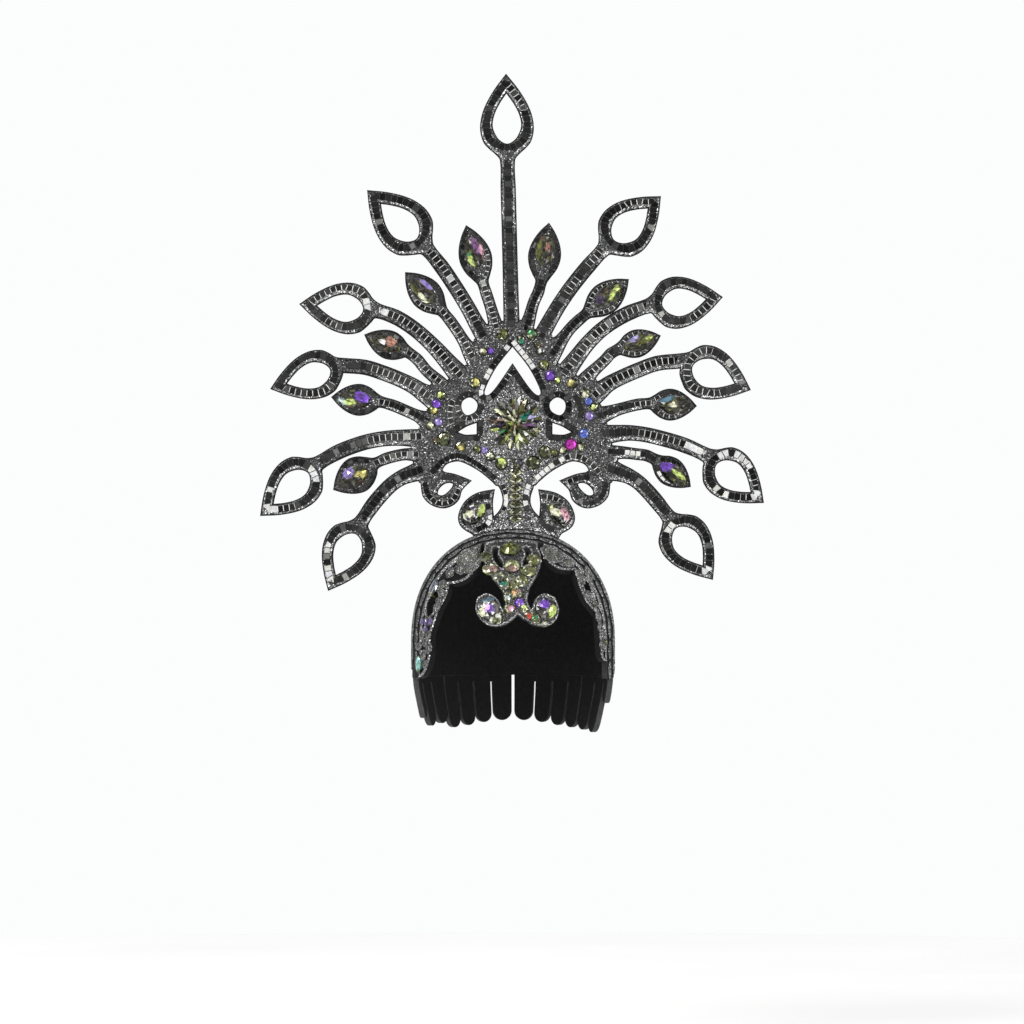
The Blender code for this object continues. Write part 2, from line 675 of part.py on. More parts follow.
def make_crest_stones():
    """The pointed stones on the leaves and the two pear-shaped ones on the foot's scrolls."""
    for word, side in SIDES.items():
        for k, row in enumerate(LEAF_RAYS[word]):
            tip, throat = on_crest(*row[0:2]), on_crest(*row[2:4])
            axis = tip - throat
            outline = turned(pointed(LEAF_STONE_LENGTH, LEAF_STONE_WIDTH * row[6]),
                             math.degrees(math.atan2(axis.y, axis.x)))
            centre = on_front(throat.lerp(tip, LEAF_STONE_PLACE))
            make_stone(f"leaf_stone_{word}_{k + 1}", "smoky_stone", outline, centre, FORWARD)
        outline = turned(pear(FOOT_STONE_LENGTH, FOOT_STONE_WIDTH), 90.0 + side * (90.0 - FOOT_STONE_TURN))
        centre = on_front(mirrored([FOOT_STONE], FOOT_LINE, side)[0])
        make_stone(f"foot_stone_{word}", "rainbow_stone", outline, centre, FORWARD)


def make_burst():
    """The medallion's flower: rings of pointed stones on a thin round backing."""
    centre = on_front(on_crest(0.0, 0.0)) + FORWARD * GAP
    shape = bmesh.new()
    rim = ring(2 * BURST_RADIUS * BURST_BACKING_SHARE, 2 * STONE_SIDES)
    add_levels(shape, rim, centre, FORWARD, ((1.0, 0.0), (1.0, BURST_BACKING)))
    burst = finish("burst_stones", "smoky_stone", shape)
    petals = bmesh.new()
    for count, place, length, width in BURST_RINGS:
        for k in range(count):
            turn = 360.0 * (k + 0.5) / count
            outline = turned(pointed(length * BURST_RADIUS, width * BURST_RADIUS, SMALL_STONE_SIDES), turn)
            arm = Vector((math.cos(math.radians(turn)), 0.0, math.sin(math.radians(turn))))
            petal = centre + arm * place * BURST_RADIUS + FORWARD * BURST_BACKING
            add_stone(petals, outline, petal, FORWARD, BURST_HEIGHT, BURST_BACKING / 2)
    add_stone(petals, ring(BURST_RADIUS * BURST_EYE, SMALL_STONE_SIDES), centre + FORWARD * BURST_BACKING,
              FORWARD, BURST_HEIGHT, BURST_BACKING / 2)
    return fuse(burst, petals)


def cap_normal(point):
    """The outward direction of the cap's surface."""
    power = CAP_ROUNDNESS - 1
    rise = max(point.z - EQUATOR, 0.0) / CAP_DOME_RISE
    slope = Vector((
        math.copysign((abs(point.x) / HALF_WIDTH) ** power, point.x) / HALF_WIDTH,
        math.copysign((abs(point.y) / HALF_DEPTH) ** power, point.y) / HALF_DEPTH,
        rise**power / CAP_DOME_RISE,
    ))
    return slope.normalized()


def slice_point(flat):
    """A place on a hoop: flat.x runs along it from the top, flat.y is the real y."""
    turn = flat.x / QUARTER_ARC
    scale = cap_scale(flat.y)
    angle = min(abs(turn), 1.0) * math.pi / 2
    x = HALF_WIDTH * scale * math.sin(angle) ** (2 / CAP_ROUNDNESS)
    z = EQUATOR + CAP_DOME_RISE * scale * max(math.cos(angle), 0.0) ** (2 / CAP_ROUNDNESS)
    z -= max(abs(turn) - 1.0, 0.0) * QUARTER_ARC
    return Vector((math.copysign(x, turn), flat.y, z))


def front_point(flat):
    """A place on the cap's front half, from its x and z."""
    rise = max(flat.y - EQUATOR, 0.0) / CAP_DOME_RISE
    left = 1 - (abs(flat.x) / HALF_WIDTH) ** CAP_ROUNDNESS - rise**CAP_ROUNDNESS
    return Vector((flat.x, -HALF_DEPTH * max(left, 0.0) ** (1 / CAP_ROUNDNESS), flat.y))


def back_point(flat):
    """A place on the cap by azimuth from straight back and by the way down from the top."""
    azimuth = flat.x / HALF_WIDTH
    way = flat.y / CAP_DOME_RISE
    angle = min(way, math.pi / 2)
    share = math.sin(angle) ** (2 / CAP_ROUNDNESS)
    z = EQUATOR + CAP_DOME_RISE * max(math.cos(angle), 0.0) ** (2 / CAP_ROUNDNESS)
    z -= max(way - math.pi / 2, 0.0) * CAP_DOME_RISE
    below = max(EAR_Z - z, 0.0) / (NAPE_DROP - EAR_DROP)
    share *= 1 - NAPE_TAPER * below**NAPE_CURVE
    x = math.copysign(abs(math.sin(azimuth)) ** (2 / CAP_ROUNDNESS), math.sin(azimuth))
    y = math.copysign(abs(math.cos(azimuth)) ** (2 / CAP_ROUNDNESS), math.cos(azimuth))
    return Vector((HALF_WIDTH * share * x, HALF_DEPTH * share * y, z))


def shell(name, slot, outer, holes, surface, pitch, lift=0.0, thickness=CAP_THICKNESS):
    """A piece of the cap: a bent sheet, its outer face raised by lift."""
    fill = fill_points(outer, holes, pitch) if pitch else ()

    def near(flat):
        point = surface(flat)
        return point + cap_normal(point) * lift

    def far(flat):
        point = surface(flat)
        return point + cap_normal(point) * (lift - thickness)

    return sheet(name, slot, outer, holes, near, far, fill, rounded=True)


def make_hoop(name, back_y, width, lift):
    """A band over the head from ear to ear."""
    reach = QUARTER_ARC + EAR_DROP
    places = [reach * (2 * k / HOOP_STEPS - 1) for k in range(HOOP_STEPS + 1)]
    front = [Vector((place, back_y - width)) for place in places]
    back = [Vector((place, back_y)) for place in places]
    return shell(name, "cap_foam", front + back[::-1], [], slice_point, 0.0, lift, CAP_THICKNESS + lift)


def make_cap_back():
    """The plain dome behind the hoops."""
    edge_y = HOOP_BACK_EDGE + GAP
    top = math.asin((edge_y / HALF_DEPTH) ** (CAP_ROUNDNESS / 2))
    ways = [top + (math.pi / 2 - top) * (k / BACK_EDGE_STEPS) ** 2 for k in range(BACK_EDGE_STEPS + 1)]
    ways.append(math.pi / 2 + EAR_DROP / CAP_DOME_RISE)
    edge = []
    for way in ways:
        share = math.sin(min(way, math.pi / 2)) ** (2 / CAP_ROUNDNESS)
        azimuth = math.acos(min((edge_y / (HALF_DEPTH * share)) ** (CAP_ROUNDNESS / 2), 1.0))
        edge.append(Vector((azimuth * HALF_WIDTH, way * CAP_DOME_RISE)))
    other = [Vector((-point.x, point.y)) for point in edge[:0:-1]]
    low = []
    for k in range(1, BACK_RIM_STEPS):
        low.append(edge[-1].lerp(other[0], k / BACK_RIM_STEPS))
    return shell("cap_back", "cap_foam", edge + low + other, [], back_point, CAP_PITCH)


def on_rim(x, drop):
    """A flat place on the cap's front, from shares of the front hoop's edge."""
    scale = cap_scale(RIM_Y)
    return Vector((x * HALF_WIDTH * scale, EQUATOR + (1 - drop) * CAP_DOME_RISE * scale))


def rim_top(start, end, steps):
    """Flat points along the front hoop's edge, between two places along the hoop."""
    places = []
    for k in range(steps + 1):
        point = slice_point(Vector((start + (end - start) * k / steps, RIM_Y)))
        places.append(Vector((point.x, point.z)))
    return places


def slice_turn(x, y):
    """How far along a hoop a value of x lies."""
    share = min(abs(x) / (HALF_WIDTH * cap_scale(y)), 1.0)
    return math.copysign(math.asin(share ** (CAP_ROUNDNESS / 2)) / (math.pi / 2) * QUARTER_ARC, x)


def make_rim(word):
    """The pierced band between the hoops and the face opening, with its leaf lobes and stones."""
    edge = runs([[on_rim(*place) for place in run] for run in RIM_EDGE[word]])
    end = on_rim(*RIM_EDGE[word][-1][-1])
    end_turn = math.copysign(QUARTER_ARC + EQUATOR - end.y, end.x)
    top = rim_top(slice_turn(edge[0].x, RIM_Y), end_turn, RIM_TOP_STEPS)
    charts = [[on_rim(*place) for place in hole] for hole in RIM_HOLES[word]]
    holes = [smooth(chart, closed=True, steps=HOLE_STEPS) for chart in charts]
    outer = edge + top[::-1]
    rim = shell(f"rim_{word}", "cap_foam", outer, holes, front_point, RIM_PITCH)
    stones = bmesh.new()
    for x, drop, length, width, turn in RIM_STONES[word]:
        centre = front_point(on_rim(x, drop))
        outline = turned(pointed(length, width, SMALL_STONE_SIDES), turn)
        add_stone(stones, outline, centre, cap_normal(centre), SMALL_STONE_HEIGHT, RIM_STONE_SINK)
    return fuse(rim, stones)


def lean(out, drop, side):
    """A flat place on the forehead ornament."""
    return on_rim(side * out + ORNAMENT_LEAN * (drop - ORNAMENT_PIVOT), drop)


def make_ornament():
    """The forehead plate: arms round the top stones, a stem and two scrolls."""
    sides = []
    for side in (-1, 1):
        sides.append(runs([[lean(*place, side) for place in run] for run in ORNAMENT_EDGE]))
    foot = lean(*ORNAMENT_EDGE[-1][-1], 1)
    top = rim_top(slice_turn(sides[0][0].x, RIM_Y), slice_turn(sides[1][0].x, RIM_Y), ORNAMENT_TOP_STEPS)
    outer = top + sides[1] + [foot] + sides[0][::-1]
    hooks = [[lean(*place, side) for place in ORNAMENT_HOOK] for side in (-1, 1)]
    holes = [smooth(hook, closed=True, steps=HOLE_STEPS) for hook in hooks]
    plate_made = shell("forehead_ornament", "glitter_foam", outer, holes, front_point, RIM_PITCH,
                       0.0, ORNAMENT_THICKNESS)
    stones = bmesh.new()
    for x, drop, width in ORNAMENT_STONES:
        centre = front_point(on_rim(x, drop))
        outline = ring(width, SMALL_STONE_SIDES)
        add_stone(stones, outline, centre, cap_normal(centre), SMALL_STONE_HEIGHT, RIM_STONE_SINK)
    return fuse(plate_made, stones)


def make_forehead_stones():
    """The large round stones of the ornament."""
    for name, place in (("forehead_stone_top", CROWN_STONE), ("forehead_stone_middle", MIDDLE_STONE)):
        centre = front_point(on_rim(*place[0:2]))
        make_stone(name, "smoky_stone", ring(place[2]), centre, cap_normal(centre))
    for word, side in SIDES.items():
        centre = front_point(lean(*SCROLL_STONE, side))
        outline = ring(SCROLL_STONE_SIZE)
        make_stone(f"scroll_stone_{word}", "rainbow_stone", outline, centre, cap_normal(centre))


def make_strips(name, side, first, last, tips):
    """A comb of hanging foam strips with round ends, between two azimuths from the front."""
    top = math.pi / 2 * CAP_DOME_RISE + EAR_DROP + GAP
    band = top + STRIP_BAND
    pitch = math.radians(last - first) * HALF_WIDTH / len(tips)
    start = (math.pi - math.radians(first)) * HALF_WIDTH
    outline = []
    for k, tip in enumerate(tips):
        centre = start - (k + 0.5) * pitch
        half = (pitch - STRIP_GAP) / 2
        low = math.pi / 2 * CAP_DOME_RISE + tip * NAPE_DROP - half
        outline.append(Vector((side * (centre + half), band)))
        for step in range(STRIP_TIP_STEPS + 1):
            angle = math.pi * step / STRIP_TIP_STEPS
            outline.append(Vector((side * (centre + half * math.cos(angle)), low + half * math.sin(angle))))
        outline.append(Vector((side * (centre - half), band)))
    outline.append(Vector((outline[-1].x, top)))
    steps = 2 * len(tips)
    for k in range(1, steps):
        outline.append(Vector((outline[-1].x + (outline[0].x - outline[-1].x) / (steps - k + 1), top)))
    outline.append(Vector((outline[0].x, top)))
    return shell(name, "strip_foam", outline, [], back_point, STRIP_PITCH)


def make_brace():
    """The plain bracket that holds the crest up from behind."""
    start = BACK_Y + GAP
    outline = [Vector((start, MEDALLION_RISE - BRACE_DROP))]
    for k in range(BRACE_STEPS + 1):
        y = start + BRACE_REACH * k / BRACE_STEPS
        outline.append(Vector((y, slice_height(0.0, y) + GAP)))
    middle = FOOT_LINE * CREST_SPAN
    return sheet(
        "crest_brace", "strip_foam", outline, [],
        lambda p: Vector((middle - BRACE_WIDTH / 2, p.x, p.y)),
        lambda p: Vector((middle + BRACE_WIDTH / 2, p.x, p.y)),
    )


def main():
    make_hub()
    make_foot()
    make_rays()
    make_crest_stones()
    make_burst()
    make_brace()
    make_cap_back()
    make_hoop("hoop_back", HOOP_BACK_EDGE, HOOP_BACK_WIDTH, 0.0)
    make_hoop("hoop_middle", HOOP_MIDDLE_Y, HOOP_MIDDLE_WIDTH, HOOP_MIDDLE_RISE)
    make_hoop("hoop_front", HOOP_FRONT_Y, HOOP_FRONT_WIDTH, 0.0)
    make_ornament()
    make_forehead_stones()
    for word, side in SIDES.items():
        make_curl(word, side)
        make_rim(word)
        make_strips(f"side_strips_{word}", side, SIDE_STRIPS_FROM, SIDE_STRIPS_TO, SIDE_STRIP_TIPS[word])
        make_strips(f"nape_strips_{word}", side, SIDE_STRIPS_TO, 180.0, NAPE_STRIP_TIPS)


main()
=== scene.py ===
"""The looks of a carnival crown: a crest of glitter foam set with mirror tiles and cut stones,
on an openwork foam cap. Metres, +Z up, the front faces -Y."""

import math
import random

import bmesh
import bpy
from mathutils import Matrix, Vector
from mathutils.geometry import delaunay_2d_cdt
from mathutils.kdtree import KDTree


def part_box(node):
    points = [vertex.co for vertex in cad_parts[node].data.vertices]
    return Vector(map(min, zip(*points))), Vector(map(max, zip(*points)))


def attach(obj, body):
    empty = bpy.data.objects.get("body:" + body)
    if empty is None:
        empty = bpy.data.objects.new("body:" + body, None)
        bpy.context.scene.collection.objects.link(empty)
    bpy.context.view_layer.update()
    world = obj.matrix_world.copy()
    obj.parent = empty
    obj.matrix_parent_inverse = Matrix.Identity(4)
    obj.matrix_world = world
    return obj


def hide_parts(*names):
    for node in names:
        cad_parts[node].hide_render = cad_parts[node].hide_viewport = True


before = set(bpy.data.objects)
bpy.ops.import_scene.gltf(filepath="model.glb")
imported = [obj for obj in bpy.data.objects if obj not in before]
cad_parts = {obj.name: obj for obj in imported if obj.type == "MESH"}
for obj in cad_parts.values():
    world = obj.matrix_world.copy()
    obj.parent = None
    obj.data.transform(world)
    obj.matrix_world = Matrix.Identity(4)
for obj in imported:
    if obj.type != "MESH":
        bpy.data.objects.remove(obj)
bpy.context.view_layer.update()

# Crest: its span, and places read from the frame
CREST_SPAN = 0.440
CREST_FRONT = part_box("ray_centre")[0].y
CREST_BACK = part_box("ray_centre")[1].y
BURST_LOW, BURST_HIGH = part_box("burst_stones")
BURST_RADIUS = (BURST_HIGH.x - BURST_LOW.x) / 2
MEDALLION = (BURST_LOW + BURST_HIGH) / 2
CENTRE = Vector((MEDALLION.x, MEDALLION.z))
SIDES = {"left": -1, "right": 1}
RAY_COUNT = 5
# The points of a ray's middle line that belong to its stem
STEM_POINTS = 7
# The middle line of the foot, in shares of the span
MIRROR_LINE = 0.005
SEAM_REACH = 0.0012
NOTCH_FILLET = 0.0014
NOTCH_POINTS = 10

# Cap
CAP_WIDTH = 0.177
CAP_DEPTH = 0.205
CAP_DOME_RISE = 0.097
CAP_THICKNESS = 0.005
CAP_ROUNDNESS = 2.2
EAR_DROP = 0.0322
NAPE_DROP = 0.0825
NAPE_TAPER = 0.10
NAPE_CURVE = 1.5
ORNAMENT_THICKNESS = 0.0045
HALF_WIDTH = CAP_WIDTH / 2
HALF_DEPTH = CAP_DEPTH / 2
EQUATOR = CAP_THICKNESS - CAP_DOME_RISE
EAR_Z = EQUATOR - EAR_DROP
EQUATOR_WAY = math.pi / 2 * CAP_DOME_RISE
EAR_WAY = EQUATOR_WAY + EAR_DROP
QUARTER_ARC = (HALF_WIDTH + CAP_DOME_RISE) * math.pi / 4
RIM_GAP = 0.0003
RIM_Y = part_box("hoop_front")[0].y - RIM_GAP

# Outlines: how they are rounded, and what counts as one place
CORNER_TURN = math.radians(70.0)
CURVE_STEPS = 4
LEAST_STEP = 0.00015
SAME_PLACE = 1e-5
SAME_CORNER = 1e-6
SAME_POINT = 1e-7
# How well a picked face has to face its way, and how often its outer place is sought
FACES_BACK = 0.99
FACES_IN = -0.6
NORMAL_TRIES = 4

# Outlines moved inwards: the longest a corner reaches, and how it is held back in narrow places
EDGE_SAMPLE = 0.0004
LEAST_MITRE = 0.45
INSET_TRIES = 8
INSET_KEPT = 0.9
REACH_KEPT = 0.97
REACH_CUT = 0.75

# Foam sheets: the edge's inset, the share of the thickness down and the lift, in shares of the rounding
SHEET_EDGE = ((0.5, 1.0, 0.0), (0.0, 1.0, 0.5), (0.0, 0.0, -1.0), (0.3, 0.0, -0.3), (1.0, 0.0, 0.0))
CREST_EDGE_ROUND = 0.0012
CAP_EDGE_ROUND = 0.0007
SHEET_MERGE = 3e-6
GRID_CLEAR = 0.6

# Raised glitter borders: place across and height of their section, then start, width and height of each kind.
# The crest's width goes from where its edge faces down to where it faces up.
BORDER_SECTION = (
    (0.0, -0.15), (0.08, 0.45), (0.30, 0.90), (0.55, 1.0), (0.80, 0.75), (0.96, 0.35), (1.0, -0.15),
)
BORDER_START = 0.0010
BORDER_WIDTHS = (0.0030, 0.0012)
BORDER_HEIGHT = 0.0007
LEAF_BORDER_WIDTH = 0.0009
LEAF_BORDER_REACH = 0.62
RIM_BORDER = (0.0006, 0.0020, 0.0009)
ORNAMENT_BORDER = (0.0005, 0.0016, 0.0008)
# How much likelier silver is where the edge faces down, and the share that strays from that; silver below and
# dark above are painted reflections
PAINTED_SHEEN_SLOPE = 1.2
PAINTED_SHEEN_STRAY = 0.06

# Starts of the random draws
SEEDS = {
    "borders": 17, "tiles": 11, "big_stones": 5, "small_stones": 7, "burst": 3, "rims": 21, "ornament": 31,
    "forehead": 41, "strips": 51,
}

FRONT = Vector((0.0, -1.0, 0.0))
UP = Vector((0.0, 0.0, 1.0))


def on_crest(x, z):
    """A flat place on the crest, from shares of its span about the medallion's centre."""
    return Vector((x * CREST_SPAN + MEDALLION.x, z * CREST_SPAN + MEDALLION.z))


def toward(angle):
    """The flat direction at an angle."""
    return Vector((math.cos(angle), math.sin(angle)))


def across_of(ahead):
    """The flat direction to the left of another."""
    return Vector((-ahead.y, ahead.x)).normalized()


def middle_of(points):
    """The mean of flat points."""
    return sum(points, Vector((0.0, 0.0))) / len(points)


def edges_of(loop):
    """The two ends of each side of a closed outline."""
    return zip(loop, loop[1:] + loop[:1])


def area(loop):
    """Signed area of a closed outline."""
    return sum(a.x * b.y - b.x * a.y for a, b in edges_of(loop)) / 2


def bands(rows):
    """The four-sided faces between closed rows of corners: their level, place in the row and corners."""
    for level, (low, high) in enumerate(zip(rows, rows[1:])):
        for k in range(len(low)):
            yield level, k, (low[k - 1], low[k], high[k], high[k - 1])


def merged(mesh, reach=SAME_PLACE):
    """A mesh's shape with the corners that lie in one place joined."""
    shape = bmesh.new()
    shape.from_mesh(mesh)
    bmesh.ops.remove_doubles(shape, verts=shape.verts, dist=reach)
    return shape


def walked(after):
    """Closed chains of keys, from a table of those that follow each key."""
    chains = []
    while after:
        here = min(after)
        chain = []
        while here in after:
            chain.append(here)
            followers = after[here]
            there = followers.pop()
            if not followers:
                del after[here]
            here = there
        chains.append(chain)
    return chains


def face_loops(node, picked, flat_of):
    """The outlines of a CAD node's picked faces as flat points: the outer one, then its holes."""
    shape = merged(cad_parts[node].data)
    shape.verts.index_update()
    shape.verts.ensure_lookup_table()
    faces = {face for face in shape.faces if picked(face)}
    after = {}
    for face in faces:
        for corner in face.loops:
            if sum(1 for other in corner.edge.link_faces if other in faces) == 1:
                after[corner.vert.index] = [corner.link_loop_next.vert.index]
    loops = [[flat_of(shape.verts[k].co) for k in chain] for chain in walked(after)]
    shape.free()
    loops.sort(key=lambda loop: abs(area(loop)), reverse=True)
    return [loop if (area(loop) > 0) == (k == 0) else loop[::-1] for k, loop in enumerate(loops)]


def back_loops(node):
    """The outlines of a flat CAD node's back face, in x and z."""
    def on_back(face):
        return face.normal.y > FACES_BACK and abs(face.calc_center_median().y - CREST_BACK) < SAME_PLACE
    return face_loops(node, on_back, lambda place: Vector((place.x, place.z)))


def turn_at(loop, k):
    """How far a closed outline turns at a point."""
    before, here, after = loop[k - 1], loop[k], loop[(k + 1) % len(loop)]
    return (here - before).angle(after - here, 0.0)


def curve(points):
    """Points along a smooth open curve through the given ones."""
    made = []
    last = len(points) - 1
    for k in range(last):
        before, start, end, after = (points[min(max(k + j, 0), last)] for j in (-1, 0, 1, 2))
        leaving = (end - before).normalized()
        arriving = (after - start).normalized()
        for step in range(CURVE_STEPS):
            t = step / CURVE_STEPS
            pull = leaving * (t - 2 * t**2 + t**3) + arriving * (t**3 - t**2)
            place = start * (1 - 3 * t**2 + 2 * t**3) + end * (3 * t**2 - 2 * t**3)
            made.append(place + pull * (end - start).length)
    made.append(points[-1])
    return made


def rounded_loop(loop):
    """A closed outline made smooth between its corners."""
    corners = [k for k in range(len(loop)) if turn_at(loop, k) > CORNER_TURN]
    if not corners:
        return curve(loop[-1:] + loop + loop[:2])[CURVE_STEPS : CURVE_STEPS * (len(loop) + 1)]
    made = []
    for a, b in zip(corners, corners[1:] + [corners[0] + len(loop)]):
        made += curve([loop[k % len(loop)] for k in range(a, b + 1)])[:-1]
    return made


def dense_loop(corners, step):
    """A closed outline with extra points along its straight sides."""
    made = []
    for a, b in edges_of(corners):
        count = max(1, round((b - a).length / step))
        made += [a.lerp(b, k / count) for k in range(count)]
    return made


class Outline:
    """A closed outline with its box, so that points far from it are told apart quickly."""

    def __init__(self, points):
        self.points = points
        self.low = Vector((min(p.x for p in points), min(p.y for p in points)))
        self.high = Vector((max(p.x for p in points), max(p.y for p in points)))

    def holds(self, point):
        if not (self.low.x <= point.x <= self.high.x and self.low.y <= point.y <= self.high.y):
            return False
        hit = False
        for a, b in edges_of(self.points):
            if (a.y > point.y) != (b.y > point.y):
                if point.x < a.x + (point.y - a.y) * (b.x - a.x) / (b.y - a.y):
                    hit = not hit
        return hit


def fill(outlines, holes, spread=()):
    """Flat triangles that cover the outlines and none of the holes, with corners at the spread points too."""
    points = []
    edges = []
    for loop in (*outlines, *holes):
        first = len(points)
        points += loop
        edges += [(first + k, first + (k + 1) % len(loop)) for k in range(len(loop))]
    points += spread
    flat, _, faces, *_ = delaunay_2d_cdt(points, edges, [], 0, SAME_POINT)
    outer = [Outline(loop) for loop in outlines]
    inner = [Outline(loop) for loop in holes]
    kept = []
    for face in faces:
        middle = middle_of([flat[i] for i in face])
        if any(o.holds(middle) for o in outer) and not any(o.holds(middle) for o in inner):
            kept.append(face)
    return flat, kept


def border_loops(flat, faces):
    """The closed outlines round a set of flat faces, material on their left."""
    links = {edge: True for face in faces for edge in edges_of(face)}
    after = {}
    for a, b in links:
        if (b, a) not in links:
            after.setdefault(a, []).append(b)
    return [[flat[k].copy() for k in chain] for chain in walked(after)]


def without_short_steps(loop):
    """A closed outline without points that lie too near the one before."""
    kept = [loop[0]]
    for point in loop[1:]:
        if (point - kept[-1]).length > LEAST_STEP:
            kept.append(point)
    if (kept[-1] - kept[0]).length < LEAST_STEP:
        kept.pop()
    return kept


class Region:
    """A flat region with holes: its outlines, material on their left, and how far points are from them."""

    def __init__(self, outlines, holes=()):
        loops = [without_short_steps(loop) for loop in border_loops(*fill(outlines, holes))]
        self.loops = [loop for loop in loops if len(loop) > 3]
        dense = []
        for loop in self.loops:
            for a, b in edges_of(loop):
                parts = max(1, int((b - a).length / EDGE_SAMPLE))
                dense += [a.lerp(b, k / parts) for k in range(parts)]
        self.tree = KDTree(len(dense))
        for k, point in enumerate(dense):
            self.tree.insert((point.x, point.y, 0.0), k)
        self.tree.balance()
        self.outlines = [Outline(loop) for loop in self.loops]

    def distance(self, point):
        return self.tree.find((point.x, point.y, 0.0))[2]

    def holds(self, point):
        return sum(1 for outline in self.outlines if outline.holds(point)) % 2 == 1

    def inset(self, loop, distances):
        """An outline moved into the material, held back where the material is narrow."""
        moved = []
        if isinstance(distances, float):
            distances = [distances] * len(loop)
        for k, (here, distance) in enumerate(zip(loop, distances)):
            before, after = loop[k - 1], loop[(k + 1) % len(loop)]
            first, second = across_of(here - before), across_of(after - here)
            middle = first + second
            if middle.length < SAME_CORNER:
                middle = first.copy()
            middle.normalize()
            reach = distance / max(middle.dot(first), LEAST_MITRE)
            for _ in range(INSET_TRIES):
                free = self.distance(here + middle * reach)
                if free > distance * INSET_KEPT or free > reach * REACH_KEPT:
                    break
                reach *= REACH_CUT
            moved.append(here + middle * reach)
        return moved

    def grid(self, pitch):
        """Points on a grid inside the region, clear of its edges."""
        low_x = min(o.low.x for o in self.outlines)
        low_y = min(o.low.y for o in self.outlines)
        columns = int((max(o.high.x for o in self.outlines) - low_x) / pitch) + 1
        rows = int((max(o.high.y for o in self.outlines) - low_y) / pitch) + 1
        points = [Vector((low_x + i * pitch, low_y + j * pitch)) for i in range(columns) for j in range(rows)]
        return [p for p in points if self.holds(p) and self.distance(p) > pitch * GRID_CLEAR]


def to_mesh(shape, merge=SAME_CORNER):
    """Turns a bmesh into a mesh with faces out."""
    bmesh.ops.remove_doubles(shape, verts=shape.verts, dist=merge)
    bmesh.ops.recalc_face_normals(shape, faces=shape.faces)
    mesh = bpy.data.meshes.new("piece")
    shape.to_mesh(mesh)
    shape.free()
    return mesh


def link_piece(name, mesh, looks, replaced=()):
    """Links a mesh as a piece of the object, with its materials and the nodes that it stands for."""
    mesh.name = name
    for look in looks:
        mesh.materials.append(MATERIALS[look])
    made = bpy.data.objects.new(name, mesh)
    bpy.context.scene.collection.objects.link(made)
    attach(made, "root")
    if replaced:
        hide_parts(*replaced)


# Materials

# Glitter: up to which share of the flakes each grey or colour holds
DARK_FLAKES = ((0.0, 0.016), (0.34, 0.040), (0.64, 0.080), (0.87, 0.20), (0.965, 0.62))
SILVER_FLAKES = ((0.0, 0.018), (0.15, 0.060), (0.36, 0.14), (0.62, 0.34), (0.86, 0.90))
MIDDLE_FLAKES = ((0.0, 0.012), (0.24, 0.040), (0.48, 0.10), (0.72, 0.24), (0.91, 0.70))
LEAF_FLAKES = ((0.0, 0.010), (0.36, 0.022), (0.68, 0.045), (0.90, 0.12), (0.98, 0.45))
CAP_FLAKES = ((0.0, 0.008), (0.34, 0.018), (0.66, 0.038), (0.90, 0.10), (0.98, 0.30))
# the ridges' lighter flakes are partly glitter, partly painted highlight
RIDGE_HIGHLIGHT_FLAKES = ((0.0, 0.030), (0.26, 0.070), (0.55, 0.14), (0.84, 0.32), (0.96, 0.70))
OLIVE_FLAKES = (
    (0.0, (0.045, 0.046, 0.038)), (0.28, (0.10, 0.105, 0.086)), (0.62, (0.18, 0.185, 0.155)),
    (0.88, (0.42, 0.42, 0.38)), (0.96, 0.85),
)
FLAKE_SIZE = 0.00075
FLAKE_TILT = 0.9
FLAKE_ROUGHNESS = 0.32
FLAKE_METALLIC = 0.65
# The silver part of the crest's face: its middle below the medallion's centre, its half width and height,
# and how it fades at its edge
SILVER_DROP = 0.045
SILVER_REACH = (0.046, 0.086)
SILVER_FADE = ((0.75, 1.0), (1.0, 0.0))
# Unevenness: the grain of the noise (scale, detail, roughness), then its ramp from place to tone or roughness
GLITTER_PATCHES = ((90.0, 3.0, 0.5), ((0.30, 0.70), (0.70, 1.15)))
FOAM_MOTTLE = ((220.0, 5.0, 0.7), ((0.30, 0.6), (0.60, 1.0), (0.80, 2.2)))
FOAM_ROUGHNESS = ((500.0, 3.0, 0.5), ((0.3, 0.75), (0.7, 0.95)))
GLASS_CLOUDS = ((420.0, 2.0, 0.5), ((0.25, 0.72), (0.75, 1.18)))
GLASS_SMEARS = ((900.0, 3.0, 0.5), ((0.35, 0.0), (0.85, 0.10)))
PORE_GRAIN = (1600.0, 2.0, 0.5)
PORE_DEPTH = 0.0002
PORE_STRENGTH = 0.6
PLAIN = (0.1, 0.1, 0.1)
CUT_FOAM = {"metallic": 0.0, "roughness": 0.85, "Specular_IOR_Level": 0.2}
STONE_COAT = {"Coat_Weight": 0.15, "Coat_Roughness": 0.02, "Specular_IOR_Level": 0.3}


def material(name, colour, metallic, roughness, **values):
    """A new Principled material, its node tree and its shader."""
    made = bpy.data.materials.new(name)
    made.use_nodes = True
    shader = made.node_tree.nodes["Principled BSDF"]
    shader.inputs["Base Color"].default_value = (*colour, 1.0)
    shader.inputs["Metallic"].default_value = metallic
    shader.inputs["Roughness"].default_value = roughness
    for socket, value in values.items():
        shader.inputs[socket.replace("_", " ")].default_value = value
    return made, made.node_tree, shader


def node(tree, kind, inputs=None, **settings):
    """A new node with its settings, and its inputs set or linked."""
    made = tree.nodes.new(kind)
    for name, value in settings.items():
        setattr(made, name, value)
    for socket, value in (inputs or {}).items():
        if isinstance(value, bpy.types.NodeSocket):
            tree.links.new(value, made.inputs[socket])
        else:
            made.inputs[socket].default_value = value
    return made


def vector_math(tree, operation, first, second=None, socket=1):
    """A vector sum, product or the like; a scale goes in its own socket."""
    inputs = {0: first} if second is None else {0: first, socket: second}
    return node(tree, "ShaderNodeVectorMath", inputs, operation=operation).outputs


